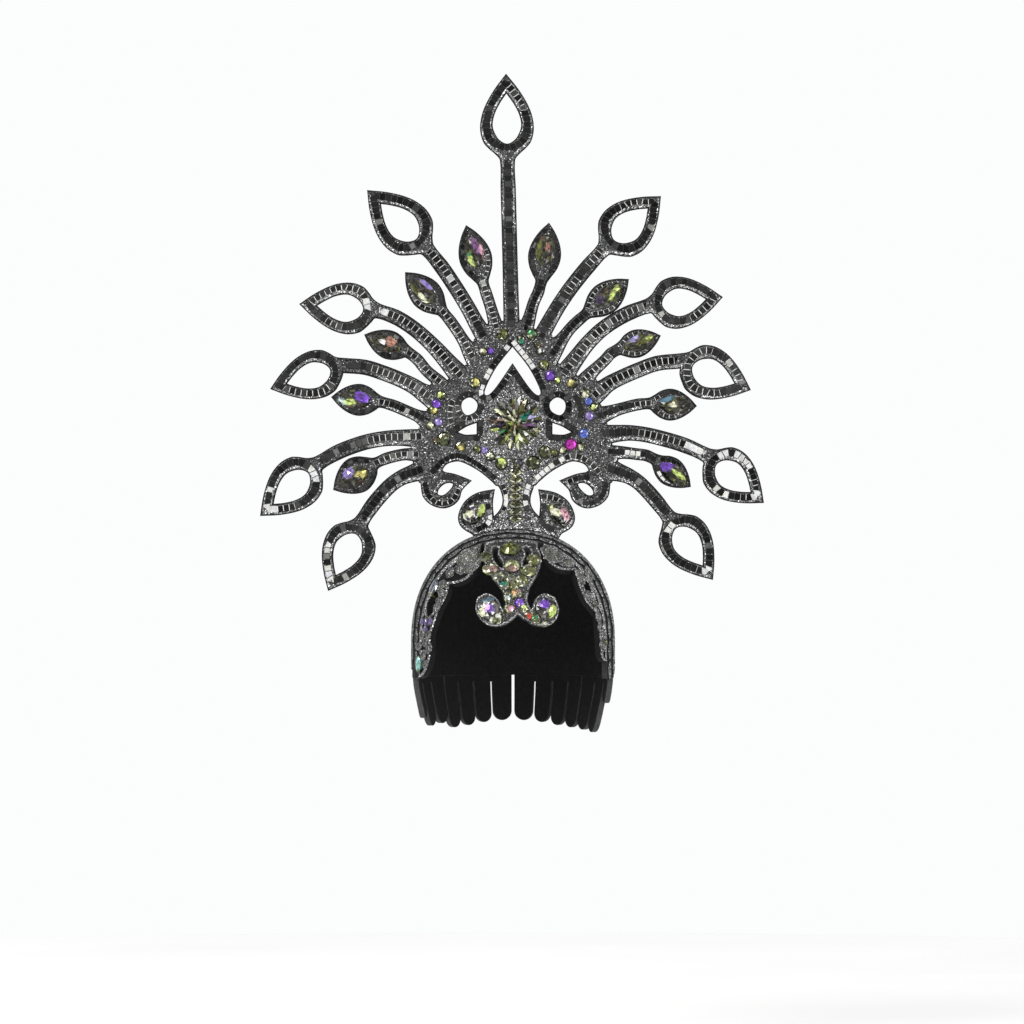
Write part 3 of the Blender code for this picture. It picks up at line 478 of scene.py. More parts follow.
def places(tree):
    """Places on the object, in metres."""
    return node(tree, "ShaderNodeTexCoord").outputs["Object"]


def noise(tree, grain):
    scale, detail, roughness = grain
    made = node(tree, "ShaderNodeTexNoise", {
        "Vector": places(tree), "Scale": scale, "Detail": detail, "Roughness": roughness})
    return made.outputs["Fac"]


def ramp(tree, factor, stops, constant=False):
    """A colour ramp from stops: their place, and a grey or a colour."""
    made = node(tree, "ShaderNodeValToRGB", {"Fac": factor})
    made.color_ramp.interpolation = "CONSTANT" if constant else "LINEAR"
    elements = made.color_ramp.elements
    while len(elements) < len(stops):
        elements.new(0.5)
    for element, (place, value) in zip(elements, stops):
        element.position = place
        colour = value if isinstance(value, tuple) else (value, value, value)
        element.color = (*colour, 1.0)
    return made.outputs["Color"]


def uneven(tree, pattern, base=0.0, share=1.0):
    """A ramp over noise, from a pattern's grain and stops; its values are times a share, on top of a base."""
    grain, stops = pattern
    return ramp(tree, noise(tree, grain), [(place, base + share * value) for place, value in stops])


def mix(tree, factor, first, second, kind="MIX"):
    """Two linked colours mixed by a share; sockets 6 and 7 of the node take colours."""
    made = node(tree, "ShaderNodeMix", {0: factor, 6: first, 7: second}, data_type="RGBA", blend_type=kind)
    return made.outputs[2]


def flakes(tree, shader):
    """Glitter: small cells, each with its own lean and a random number of its own, which is returned."""
    cells = node(tree, "ShaderNodeTexVoronoi", {"Vector": places(tree), "Scale": 1.0 / FLAKE_SIZE})
    parts = node(tree, "ShaderNodeSeparateColor", {"Color": cells.outputs["Color"]})
    off = vector_math(tree, "SUBTRACT", cells.outputs["Color"], (0.5, 0.5, 0.5))
    lean = vector_math(tree, "SCALE", off[0], FLAKE_TILT, "Scale")
    normal = node(tree, "ShaderNodeNewGeometry").outputs["Normal"]
    leaned = vector_math(tree, "ADD", normal, lean[0])
    tree.links.new(vector_math(tree, "NORMALIZE", leaned[0])[0], shader.inputs["Normal"])
    return parts.outputs[0]


def glitter_foam(name, stops, metallic=FLAKE_METALLIC, middle_stops=None):
    """Foam faced with glitter, with another glitter on the crest's middle if one is given."""
    made, tree, shader = material(name, PLAIN, metallic, FLAKE_ROUGHNESS)
    share = flakes(tree, shader)
    colour = ramp(tree, share, stops, constant=True)
    if middle_stops:
        middle = (MEDALLION.x, 0.0, MEDALLION.z - SILVER_DROP)
        off = vector_math(tree, "SUBTRACT", places(tree), middle)
        scaled = vector_math(tree, "MULTIPLY", off[0], (1 / SILVER_REACH[0], 0.0, 1 / SILVER_REACH[1]))
        far = vector_math(tree, "LENGTH", scaled[0])["Value"]
        inner = ramp(tree, far, SILVER_FADE)
        colour = mix(tree, inner, colour, ramp(tree, share, middle_stops, constant=True))
    patches = uneven(tree, GLITTER_PATCHES)
    tree.links.new(mix(tree, 1.0, colour, patches, "MULTIPLY"), shader.inputs["Base Color"])
    return made


def cut_foam(name, tone):
    """The bare foam that shows at cut edges and behind the crest; made near black, it is also painted shade
    in the cap's gaps and inside.
    """
    made, tree, shader = material(name, (tone, tone, tone), **CUT_FOAM)
    tree.links.new(uneven(tree, FOAM_MOTTLE, share=tone), shader.inputs["Base Color"])
    tree.links.new(uneven(tree, FOAM_ROUGHNESS), shader.inputs["Roughness"])
    pores = node(tree, "ShaderNodeBump", {
        "Height": noise(tree, PORE_GRAIN), "Distance": PORE_DEPTH, "Strength": PORE_STRENGTH})
    tree.links.new(pores.outputs[0], shader.inputs["Normal"])
    return made


def tinted(name, metallic, roughness, **values):
    """A glassy material whose colour is each facet's tint, kept in the mesh: the glass's colour with painted
    reflections.
    """
    made, tree, shader = material(name, PLAIN, metallic, roughness, **values)
    tint = node(tree, "ShaderNodeAttribute", attribute_name="tint").outputs["Color"]
    clouds = uneven(tree, GLASS_CLOUDS)
    tree.links.new(mix(tree, 1.0, tint, clouds, "MULTIPLY"), shader.inputs["Base Color"])
    tree.links.new(uneven(tree, GLASS_SMEARS, roughness), shader.inputs["Roughness"])
    return made


MATERIALS = {
    "glitter": glitter_foam("glitter_foam", DARK_FLAKES, middle_stops=MIDDLE_FLAKES),
    "dark": glitter_foam("dark_glitter", DARK_FLAKES),
    "leaf": glitter_foam("leaf_glitter", LEAF_FLAKES),
    "silver": glitter_foam("silver_glitter", SILVER_FLAKES),
    "edge": cut_foam("cut_foam_edge", tone=0.006),
    "tile": tinted("mirror_tile", metallic=1.0, roughness=0.05),
    "bed": tinted("tile_bed", metallic=0.4, roughness=0.35),
    "stone": tinted("cut_stone", metallic=0.60, roughness=0.06, **STONE_COAT),
    "cap": glitter_foam("cap_glitter_foam", CAP_FLAKES, metallic=0.45),
    # lighter glitter on the leaves' ridges: partly glitter, partly painted highlight
    "ridge": glitter_foam("ridge_glitter_highlight", RIDGE_HIGHLIGHT_FLAKES, metallic=0.45),
    "petal": glitter_foam("petal_glitter", OLIVE_FLAKES, metallic=0.5),
    # near-black foam as painted shade: on the cap's bands between the leaves, at the leaves' feet and on some
    # cut edges
    "gap": cut_foam("gap_shade_foam", tone=0.004),
    "pale_edge": cut_foam("pale_cut_edge", tone=0.030),
    # dark foam, darker still as painted shade inside the cap where the head would be
    "inner": cut_foam("inner_foam_shade", tone=0.008),
    "strip": cut_foam("strip_foam", tone=0.013),
    "strip_edge": cut_foam("strip_edge", tone=0.055),
}


# The crest's foam sheet and its borders


class Seat:
    """A place on a surface with its right, up and outward directions."""

    def __init__(self, origin, right, up, out):
        self.origin, self.right, self.up, self.out = origin, right, up, out

    def at(self, flat, height):
        return self.origin + self.right * flat.x + self.up * flat.y + self.out * height


def upright_seat(y):
    """A seat that faces the front, on the plane at y; its flat places are x and z."""
    return Seat(Vector((0.0, y, 0.0)), Vector((1.0, 0.0, 0.0)), UP, FRONT)


CREST_SEAT = upright_seat(CREST_FRONT)


def foam_sheet(region, surface, thickness, round_edge, pitch=None, back=2):
    """A closed foam sheet with a rounded front edge. surface gives the place of a flat point at a height.
    Its materials are the face's, the edge's and the back's."""
    shape = bmesh.new()
    backs = []
    fronts = []
    for loop in region.loops:
        flats = [region.inset(loop, inset * round_edge) if inset else loop for inset, _, _ in SHEET_EDGE]
        heights = [up * round_edge - down * thickness for _, down, up in SHEET_EDGE]
        rows = [[shape.verts.new(surface(p, height)) for p in flat] for flat, height in zip(flats, heights)]
        for _, _, corners in bands(rows):
            shape.faces.new(corners).material_index = 1
        backs.append(flats[0])
        fronts.append(flats[-1])
    spread = region.grid(pitch) if pitch else []
    for loops, height, index in ((backs, -thickness, back), (fronts, 0.0, 0)):
        outer = [loop for loop in loops if area(loop) > 0]
        holes = [loop for loop in loops if area(loop) <= 0]
        flat, faces = fill(outer, holes, spread)
        made = {i: shape.verts.new(surface(flat[i], height)) for i in {i for face in faces for i in face}}
        for face in faces:
            corners = [made[i] for i in (face if loops is fronts else face[::-1])]
            shape.faces.new(corners).material_index = index
    return to_mesh(shape, SHEET_MERGE)


def add_border(shape, region, loop, surface, start, width, height, kind_of=None):
    """A low raised ridge of glitter glue along an outline. kind_of gives a face's material from its place and
    the way out of the region."""
    widths = [width] * len(loop) if isinstance(width, float) else width
    rows = []
    for share, lift in BORDER_SECTION:
        flat = region.inset(loop, [start + share * wide for wide in widths])
        rows.append([shape.verts.new(surface(p, lift * height)) for p in flat])
    for _, k, corners in bands(rows + rows[:1]):
        face = shape.faces.new(corners)
        if kind_of:
            face.material_index = kind_of(loop[k], -across_of(loop[k] - loop[k - 1]))


def nearest_on(loop, point):
    """The place on a closed outline that lies nearest a point."""
    best = None
    for a, b in edges_of(loop):
        along = b - a
        share = min(max((point - a).dot(along) / (along.length_squared or 1.0), 0.0), 1.0)
        place = a + along * share
        if best is None or (place - point).length < (best - point).length:
            best = place
    return best


HUB = back_loops("crest_hub")


def plate_loops(name):
    """A plate's outlines, its butted edges carried a little way into the medallion, so that no seam shows."""
    loops = back_loops(name)
    if name == "crest_hub":
        return loops
    carried = []
    for point in loops[0]:
        near = nearest_on(HUB[0], point)
        if (near - point).length < SEAM_REACH / 2:
            point = near + (near - point).normalized() * SEAM_REACH
        carried.append(point)
    return [carried] + loops[1:]


def rounded_region(loops):
    """The region of an outline and its holes, made smooth between their corners."""
    outline, *holes = (rounded_loop(loop) for loop in loops)
    return Region([outline], holes)


class Ray:
    """A ray's middle line and outlines, from the pairs of points along its two edges."""

    def __init__(self, name):
        self.name = name
        loops = back_loops(name)
        outline = loops[0]
        count = len(outline)
        far = max(range(count), key=lambda k: (outline[k] - CENTRE).length)
        self.tip = outline[far]
        pairs = [(outline[(far + j) % count], outline[(far - j) % count]) for j in range(1, count // 2 + 1)]
        middles = [middle_of(pair) for pair in pairs]
        self.spine = middles[: -STEM_POINTS - 1 : -1]
        self.throat = self.spine[-1]
        self.axis = (self.tip - self.throat).normalized()
        self.length = (self.tip - self.throat).length
        self.region = rounded_region(loops)
        self.hole = loops[1] if len(loops) > 1 else None

    def along(self, point):
        return (point - self.throat).dot(self.axis)

    def band(self, inset, start):
        """The outline moved in by inset, past start on the ray's axis: its left side from the tip down, then
        its right side up to the tip."""
        outer = max(self.region.loops, key=area if self.hole else len)
        moved = [p for p in self.region.inset(outer, inset) if self.along(p) > start]
        middle = self.throat + self.axis * (start + self.length) / 2
        turns = {}
        for point in moved:
            away = point - middle
            turns[id(point)] = math.atan2(away.dot(across_of(self.axis)), away.dot(self.axis))
        moved.sort(key=lambda point: turns[id(point)])
        return [p for p in moved if turns[id(p)] >= 0], [p for p in moved if turns[id(p)] < 0]


def ray_table(kind):
    """The rays of a kind by side and number."""
    keys = [f"{word}_{k + 1}" for word in SIDES for k in range(RAY_COUNT)]
    return {key: Ray(f"ray_{kind}_{key}") for key in keys}


LONG_RAYS = [Ray("ray_centre"), *ray_table("long").values()]
LEAF_RAYS = ray_table("leaf")
RAYS = [*LONG_RAYS, *LEAF_RAYS.values()]
CREST_PLATES = ["crest_hub", "crest_foot", "curl_left", "curl_right", *(ray.name for ray in RAYS)]


def crest_region():
    """The whole crest as one foam sheet, with the notches beside the rays' roots filled a little."""
    outlines = []
    holes = []
    for name in CREST_PLATES:
        loops = plate_loops(name)
        outlines.append(rounded_loop(loops[0]))
        holes += [rounded_loop(loop) for loop in loops[1:]]
    ends = [end for ray in RAYS for end in (ray.spine[0], *ray.region.loops[0])]
    for point in HUB[0]:
        if min((point - end).length for end in ends) < SEAM_REACH:
            turns = [2 * math.pi * k / NOTCH_POINTS for k in range(NOTCH_POINTS)]
            outlines.append([point + toward(turn) * NOTCH_FILLET for turn in turns])
    return Region(outlines, holes)


def make_crest(region):
    """The crest's foam sheet and the glitter borders along all its edges."""
    sheet = foam_sheet(region, CREST_SEAT.at, CREST_BACK - CREST_FRONT, CREST_EDGE_ROUND, back=1)
    link_piece("crest_sheet", sheet, ("glitter", "edge"), CREST_PLATES)
    shape = bmesh.new()
    draw = random.Random(SEEDS["borders"])

    def on_leaf(here):
        reaches = ((ray.throat + ray.axis * ray.length / 2, ray.length) for ray in LEAF_RAYS.values())
        return any((here - middle).length < length * LEAF_BORDER_REACH for middle, length in reaches)

    def kind_of(here, out):
        """Silver where the edge faces down and dark where it faces up, as painted reflections of a pale floor
        below and a dark ceiling above; darkest on the leaves.
        """
        if on_leaf(here):
            return 2
        return int(draw.random() < min(max(0.5 - PAINTED_SHEEN_SLOPE * out.y, PAINTED_SHEEN_STRAY), 1 - PAINTED_SHEEN_STRAY))

    def width_at(loop, k):
        """Wide where the edge faces down, narrow where it faces up."""
        if on_leaf(loop[k]):
            return LEAF_BORDER_WIDTH
        faces_up = (1 - across_of(loop[(k + 1) % len(loop)] - loop[k - 1]).y) / 2
        return BORDER_WIDTHS[0] + (BORDER_WIDTHS[1] - BORDER_WIDTHS[0]) * faces_up

    for loop in region.loops:
        widths = [width_at(loop, k) for k in range(len(loop))]
        add_border(shape, region, loop, CREST_SEAT.at, BORDER_START, widths, BORDER_HEIGHT, kind_of)
    link_piece("crest_borders", to_mesh(shape), ("dark", "silver", "leaf"))


# Mirror tiles

# Length along their row and width across it
TILE = (0.0052, 0.0064)
HUB_TILE = (0.0052, 0.0050)
LEAF_STEM_TILE = (0.0050, 0.0050)
LEAF_TILE = (0.0050, 0.0038)
TILE_JOINT = 0.0007
TILE_HEIGHT = 0.0010
TILE_EDGE = 0.0001
TILE_BED = 0.0006
BED_SINK = 0.0002
BED_LEVELS = 2
TILE_TILT = math.radians(2.0)
TILE_MARGIN = 0.0009
TILE_CLEAR = 1.05
# Shares of a tile's width kept on its two sides, tried in turn until the tile fits
TILE_TRIMS = (
    (1.0, 1.0), (1.0, 0.7), (0.7, 1.0), (0.75, 0.75), (1.0, 0.4), (0.4, 1.0), (0.55, 0.55), (0.75, 0.1),
    (0.1, 0.75),
)
# Rows: how far they lie from the outlines, where they start and stop along a ray, and how far they are raised
ROW_LIFT = 0.0009
LOOP_ROW_INSET = 0.0056
LOOP_ROW_START = 0.002
LOOP_ROW_FOOT = 0.0045
LEAF_ROW_INSET = 0.0036
LEAF_ROW_START = 0.004
HOLE_ROW_INSET = 0.0034
STEM_ROW_REACH = 0.0055
STEM_ROW_STOP = -0.001
LEAF_STEM_ROW_STOP = 0.002
# Rows on the medallion, foot and curls, in shares of the crest's span, mirrored about the middle line
MIRRORED_ROWS = (
    ((0.168, -0.100), (0.150, -0.080), (0.124, -0.066), (0.106, -0.067), (0.071, -0.086), (0.040, -0.112)),
    ((0.027, -0.122), (0.020, -0.146), (0.020, -0.162), (0.026, -0.176)),
    ((0.052, -0.146), (0.076, -0.150), (0.096, -0.163), (0.106, -0.186), (0.100, -0.204)),
    ((0.054, -0.150), (0.056, -0.172), (0.050, -0.190), (0.058, -0.204), (0.078, -0.213)),
    ((0.182, -0.118), (0.176, -0.142), (0.162, -0.157), (0.144, -0.162), (0.126, -0.154), (0.112, -0.132)),
    ((0.148, -0.108), (0.120, -0.112), (0.104, -0.118)),
    ((0.118, 0.056), (0.128, 0.040), (0.131, 0.016), (0.126, -0.004), (0.112, -0.021)),
)
# Tiles painted bright as reflections of the light, as places or as runs between two places, in shares of the
# crest's span
BRIGHT_RUNS = (
    (0.356, -0.038, 0.392, -0.058), (0.418, -0.057), (0.454, -0.066, 0.474, -0.080), (0.410, -0.126),
    (0.433, -0.137), (0.482, -0.146), (0.228, -0.053, 0.246, -0.061), (0.288, -0.080),
    (0.290, -0.104, 0.310, -0.116), (0.310, -0.116, 0.350, -0.120), (0.368, 0.027), (0.312, -0.212),
    (0.386, -0.296), (0.351, 0.135), (-0.287, 0.238), (-0.263, 0.225), (-0.402, -0.094, -0.396, -0.110),
    (-0.496, -0.133), (-0.496, -0.168, -0.478, -0.168), (-0.372, -0.248), (-0.374, -0.296, -0.370, -0.324),
    (0.012, 0.160, 0.046, 0.118), (-0.016, 0.152), (-0.061, 0.069), (0.040, -0.108, 0.070, -0.080),
    (0.091, -0.068), (0.027, -0.131), (0.024, -0.162), (-0.013, -0.155), (-0.054, -0.192), (-0.051, 0.102),
)
BRIGHT_REACH = 0.0042
BRIGHT_TONES = (0.72, 0.95)
# Ranges of tone and how often they come: for a whole row, and for an odd tile in it. The mirrors' dark tones
# are painted reflections of dark surroundings.
ROW_TONES = ((0.55, 0.014, 0.028), (0.45, 0.028, 0.046))
ROW_SPREAD = (0.6, 1.6)
ODD_TILES = 0.12
ODD_TONES = ((0.60, 0.05, 0.10), (0.30, 0.12, 0.28), (0.10, 0.40, 0.60))
GLASS_BLUES = (0.92, 1.03)
BED_BLUE = 0.97
PALE_JOINT = (0.55, 0.90)
DARK_JOINT = (0.015, 0.05)
JOINT_RUNS = (3, 9)
JOINT_SIDE = 0.25
# How much of each row has pale joints; the stems' rows are the centre's, then the left and right ones
STEM_PALE = (0.0, 0.3, 1.0, 0.4, 0.3, 0.1, 0.6, 1.0, 1.0, 0.3, 0.3)
LEAF_STEM_PALE = (0.2, 1.0, 1.0, 0.6, 0.4, 0.0, 0.4, 0.9, 0.5, 0.2)
LOOP_PALE = 0.25
LEAF_PALE = 0.35
HUB_PALE = 0.20


class Pile:
    """Many small faceted bodies joined in one mesh, each face with its own tint and material."""

    def __init__(self):
        self.points = []
        self.faces = []
        self.tints = []
        self.kinds = []

    def add_face(self, corners, tint, kind=0):
        first = len(self.points)
        self.points += corners
        self.faces.append(tuple(range(first, first + len(corners))))
        self.tints.append(tint)
        self.kinds.append(kind)

    def link(self, name, slot, nodes=(), looks=("stone",)):
        """Links the pile as one piece, the corners that lie in one place joined."""
        mesh = bpy.data.meshes.new(name)
        mesh.from_pydata([tuple(p) for p in self.points], [], self.faces)
        values = []
        for face, colour in zip(self.faces, self.tints):
            corners = colour if isinstance(colour, list) else [colour] * len(face)
            for corner in corners:
                values += (*corner, 1.0)
        mesh.color_attributes.new("tint", "FLOAT_COLOR", "CORNER").data.foreach_set("color", values)
        mesh.polygons.foreach_set("material_index", self.kinds)
        shape = merged(mesh, SAME_POINT)
        shape.to_mesh(mesh)
        shape.free()
        link_piece(name, mesh, looks, nodes)


def pick_tone(draw, table):
    """A tone from a table of shares and ranges."""
    share = draw.random()
    for weight, low, high in table:
        if share < weight:
            return draw.uniform(low, high)
        share -= weight
    return draw.uniform(*table[0][1:])


def length_of(path):
    return sum((b - a).length for a, b in zip(path, path[1:]))


def at_length(path, left):
    """The place and direction at a length along a path."""
    for a, b in zip(path, path[1:]):
        step = (b - a).length
        if left <= step:
            return a.lerp(b, left / step), (b - a).normalized()
        left -= step
    return path[-1], (path[-1] - path[-2]).normalized()


def row_cells(path, pitch):
    """The pairs of cross lines between which the tiles of a row lie: places and directions."""
    total = length_of(path)
    count = max(1, round(total / pitch))
    lines = [at_length(path, total * k / count) for k in range(count + 1)]
    return zip(lines, lines[1:])


def near_bright(point):
    """Whether a place on the crest lies in a bright run."""
    runs = ((on_crest(*run[:2]), on_crest(*run[-2:])) for run in BRIGHT_RUNS)
    return any((nearest_on(run, point) - point).length < BRIGHT_REACH for run in runs)


def shrunk(corners, by):
    """A flat four-sided outline with each side moved inwards."""
    made = []
    for k, here in enumerate(corners):
        after, before = corners[(k + 1) % len(corners)] - here, corners[k - 1] - here
        made.append(here + (after.normalized() + before.normalized()) * by)
    return made


def add_tile(pile, draw, cell, tone, joint_tone):
    """A small mirror on its bed, leaning by a little; cell is its outline with half of the joint."""
    centre = middle_of(cell)
    lean = Vector((draw.uniform(-TILE_TILT, TILE_TILT), draw.uniform(-TILE_TILT, TILE_TILT)))
    glass_outline = shrunk(cell, TILE_JOINT / 2)
    along = (cell[1] - cell[0] + cell[2] - cell[3]).normalized()
    bed_outline = []
    for corner, glass_corner in zip(cell, glass_outline):
        gap = corner - glass_corner
        bed_outline.append(glass_corner + gap.lerp(along * gap.dot(along), 1 - JOINT_SIDE))
    levels = (
        (bed_outline, -BED_SINK), (bed_outline, TILE_BED), (glass_outline, TILE_BED),
        (glass_outline, TILE_HEIGHT - TILE_EDGE), (shrunk(glass_outline, TILE_EDGE), TILE_HEIGHT),
    )
    rows = []
    for outline, height in levels:
        slope = lean if height > TILE_BED else Vector((0.0, 0.0))
        rows.append([CREST_SEAT.at(p, height + slope.dot(p - centre)) for p in outline])
    glass = (tone, tone, tone * draw.uniform(*GLASS_BLUES))
    bed = (joint_tone, joint_tone, joint_tone * BED_BLUE)
    for level, _, corners in bands(rows):
        on_bed = level < BED_LEVELS
        pile.add_face(corners, bed if on_bed else glass, int(on_bed))
    pile.add_face(rows[-1], glass)
    pile.add_face(rows[0][::-1], bed, 1)


def loop_row(ray):
    """The ring of tiles round a loop: from its tip down one side, under the window and back up."""
    start = min(ray.along(p) for p in ray.hole)
    left, right = ray.band(LOOP_ROW_INSET, start - LOOP_ROW_START)
    bottom = ray.throat + ray.axis * (start - LOOP_ROW_FOOT)
    return [right[-1], *left, bottom, *right]


def leaf_rows(ray):
    """The rows of tiles round a leaf's stone, one down each side from the tip."""
    left, right = ray.band(LEAF_ROW_INSET, LEAF_ROW_START)
    return left, right[::-1]


def stem_row(ray, stop):
    """The row along a ray's stem, from inside the medallion to a length past its throat."""
    root, after = ray.spine[:2]
    inner = root + (root - after).normalized() * STEM_ROW_REACH
    outer = ray.throat + ray.axis * stop
    return curve([inner, *ray.spine, outer])


def tile_rows():
    """Every row of tiles: its path, the size of its tiles and how much of it has pale joints."""
    rows = []
    hub = rounded_region(HUB)
    for loop in hub.loops:
        if area(loop) < 0:
            moved = hub.inset(loop, HOLE_ROW_INSET)
            rows.append((moved + moved[:1], HUB_TILE, HUB_PALE))
    for side in SIDES.values():
        for chart in MIRRORED_ROWS:
            path = curve([on_crest(MIRROR_LINE + side * out, z) for out, z in chart])
            rows.append((path, HUB_TILE, HUB_PALE))
    up = Vector((0.0, ROW_LIFT))
    for ray, pale in zip(LONG_RAYS, STEM_PALE):
        rows.append(([place + up for place in loop_row(ray)], TILE, LOOP_PALE))
        rows.append(([place + up for place in stem_row(ray, STEM_ROW_STOP)], TILE, pale))
    for ray, pale in zip(LEAF_RAYS.values(), LEAF_STEM_PALE):
        rows += [(path, LEAF_TILE, LEAF_PALE) for path in leaf_rows(ray)]
        rows.append(([place + up / 2 for place in stem_row(ray, LEAF_STEM_ROW_STOP)], LEAF_STEM_TILE, pale))
    return rows


def fitted(cell, width, clear):
    """The outline of a tile between two cross lines, trimmed until it is clear of all else, or None."""
    (start, start_way), (end, end_way) = cell
    for trims in TILE_TRIMS:
        low, high = (trim * width / 2 for trim in trims)
        corners = [
            start - across_of(start_way) * low, end - across_of(end_way) * low,
            end + across_of(end_way) * high, start + across_of(start_way) * high,
        ]
        if clear(corners):
            return corners
    return None


def make_tiles(region, blocked):
    """All the mirror tiles of the crest, in one piece."""
    draw = random.Random(SEEDS["tiles"])
    pile = Pile()
    taken = []

    def clear(corners):
        if min(region.distance(c) for c in corners) < TILE_MARGIN:
            return False
        if any(o.holds(c) for o in blocked for c in corners):
            return False
        return all(region.holds(c) for c in corners)

    for which, (path, size, pale_share) in enumerate(tile_rows()):
        row_tone = pick_tone(draw, ROW_TONES)
        left = 0
        reach = size[0] * TILE_CLEAR
        for cell in row_cells(path, size[0]):
            if left == 0:
                left = draw.randint(*JOINT_RUNS)
                joint = PALE_JOINT if draw.random() < pale_share else DARK_JOINT
            left -= 1
            centre = (cell[0][0] + cell[1][0]) / 2
            near = any(row != which and (centre - other).length < reach for row, other in taken)
            corners = None if near else fitted(cell, size[1], clear)
            if corners is None:
                continue
            taken.append((which, centre))
            # bright runs are painted reflections of the light, the other tones painted reflections of dark
            # surroundings
            if near_bright(centre):
                tone = draw.uniform(*BRIGHT_TONES)
            elif draw.random() < ODD_TILES:
                tone = pick_tone(draw, ODD_TONES)
            else:
                tone = row_tone * draw.uniform(*ROW_SPREAD)
            add_tile(pile, draw, corners, tone, draw.uniform(*joint))
    pile.link("mirror_tiles", "crest_face", looks=("tile", "bed"))


# Cut stones

TINTS = {
    "dark": (0.016, 0.015, 0.012), "smoke": (0.048, 0.046, 0.038), "grey": (0.18, 0.18, 0.16),
    "olive": (0.13, 0.14, 0.040), "lime": (0.50, 0.62, 0.18), "yellow": (0.62, 0.56, 0.18),
    "cream": (0.80, 0.80, 0.56), "white": (0.88, 0.90, 0.86), "ice": (0.50, 0.60, 0.62),
    "purple": (0.17, 0.07, 0.46), "violet": (0.26, 0.20, 0.47), "magenta": (0.42, 0.03, 0.34),
    "pink": (0.70, 0.36, 0.44), "salmon": (0.46, 0.23, 0.17), "orange": (0.80, 0.42, 0.22),
    "teal": (0.03, 0.24, 0.17), "green": (0.05, 0.20, 0.08), "blue": (0.09, 0.13, 0.42),
    "brown": (0.10, 0.06, 0.04), "red": (0.55, 0.06, 0.06), "lilac": (0.42, 0.38, 0.66),
    "aqua": (0.24, 0.50, 0.45), "moss": (0.06, 0.07, 0.03),
    "rose": (0.26, 0.17, 0.15), "mauve": (0.22, 0.11, 0.24), "plum": (0.07, 0.05, 0.10),
    "steel": (0.09, 0.18, 0.24), "slate": (0.20, 0.21, 0.26), "dusk": (0.15, 0.12, 0.24),
}
FULL_COLOURS = ("purple", "blue", "magenta", "violet", "aqua", "slate", "dusk")
# Tones of the facets of each kind of stone, and how often they come: partly the stones' own colours, partly
# painted reflections of dark surroundings
SMOKY = (("dark", 0.46), ("smoke", 0.34), ("moss", 0.08), ("olive", 0.05), ("brown", 0.04), ("grey", 0.03))
CLEAR = (("smoke", 0.34), ("dark", 0.30), ("grey", 0.20), ("white", 0.08), ("plum", 0.08))
DEEP = (("dark", 0.36), ("moss", 0.22), ("smoke", 0.22), ("olive", 0.14), ("cream", 0.06))
MUTED = (("olive", 0.28), ("moss", 0.22), ("grey", 0.22), ("smoke", 0.16), ("cream", 0.12))
# the petals' light and deep tones are their painted lit and shaded sides
PETAL_LIGHT = (("cream", 0.48), ("white", 0.06), ("lime", 0.08), ("olive", 0.26), ("grey", 0.12))
PETAL_DEEP = (("dark", 0.54), ("moss", 0.30), ("olive", 0.08), ("brown", 0.08))
TINT_SPREAD = 0.35
# Streaks of reflected colour on the crest's stones: x and z in shares of its span, then length, width,
# turn in degrees and colour
GLINTS = (
    (-0.084, 0.322, 0.0110, 0.0042, 105, "lime"), (-0.088, 0.337, 0.0036, 0.0030, 105, "green"),
    (-0.075, 0.354, 0.0130, 0.0056, 114, "mauve"), (-0.061, 0.339, 0.0140, 0.0026, 107, "pink"),
    (0.050, 0.344, 0.0180, 0.0040, 78, "olive"), (0.069, 0.351, 0.0058, 0.0038, 90, "salmon"),
    (0.044, 0.328, 0.0080, 0.0022, 78, "lime"), (-0.179, 0.247, 0.0115, 0.0038, 123, "cream"),
    (-0.173, 0.277, 0.0130, 0.0036, 142, "violet"), (-0.198, 0.268, 0.0080, 0.0022, 115, "olive"),
    (0.202, 0.261, 0.0135, 0.0036, 61, "lime"), (0.169, 0.263, 0.0052, 0.0024, 30, "pink"),
    (0.171, 0.246, 0.0090, 0.0060, 0, "plum"), (-0.244, 0.163, 0.0080, 0.0074, 0, "salmon"),
    (-0.259, 0.162, 0.0046, 0.0038, 0, "white"), (0.239, 0.170, 0.0085, 0.0062, 20, "lilac"),
    (0.267, 0.167, 0.0110, 0.0042, 27, "olive"), (0.272, 0.170, 0.0060, 0.0020, 27, "lime"),
    (-0.346, 0.042, 0.0095, 0.0062, -15, "ice"), (-0.326, 0.042, 0.0090, 0.0044, 0, "lime"),
    (-0.301, 0.053, 0.0110, 0.0095, 0, "purple"), (0.304, 0.050, 0.0120, 0.0058, 10, "steel"),
    (0.321, 0.037, 0.0050, 0.0044, 0, "cream"), (-0.330, -0.100, 0.0090, 0.0076, 50, "violet"),
    (-0.302, -0.102, 0.0115, 0.0050, 5, "yellow"), (0.305, -0.081, 0.0125, 0.0115, 0, "purple"),
    (0.331, -0.103, 0.0125, 0.0036, -40, "lime"), (-0.089, -0.183, 0.0095, 0.0044, 25, "cream"),
    (-0.062, -0.173, 0.0125, 0.0050, 60, "lime"), (0.085, -0.178, 0.0090, 0.0052, -15, "cream"),
    (0.073, -0.159, 0.0110, 0.0036, 100, "olive"), (0.105, -0.183, 0.0105, 0.0050, -60, "pink"),
)
# How many facets take a streak in full, how much the others take, and a streak's brightness, soft rim and
# hold on the whole of a facet
GLINT_HOLD = 0.92
GLINT_MISS = 0.15
GLINT_GLEAM = (0.45, 1.35)
GLINT_BLUR = 0.35
GLINT_EVEN = 0.7
GLINT_FALL = 0.6
FACET_FALL = 0.55
# A small stone's flash: how far off its middle, its length and width in shares of the stone, and its turn
FLASH = (0.20, 0.62, 0.34)
FULL_FLASH = (0.05, 0.85, 0.75)
FLASH_TURN = 0.6
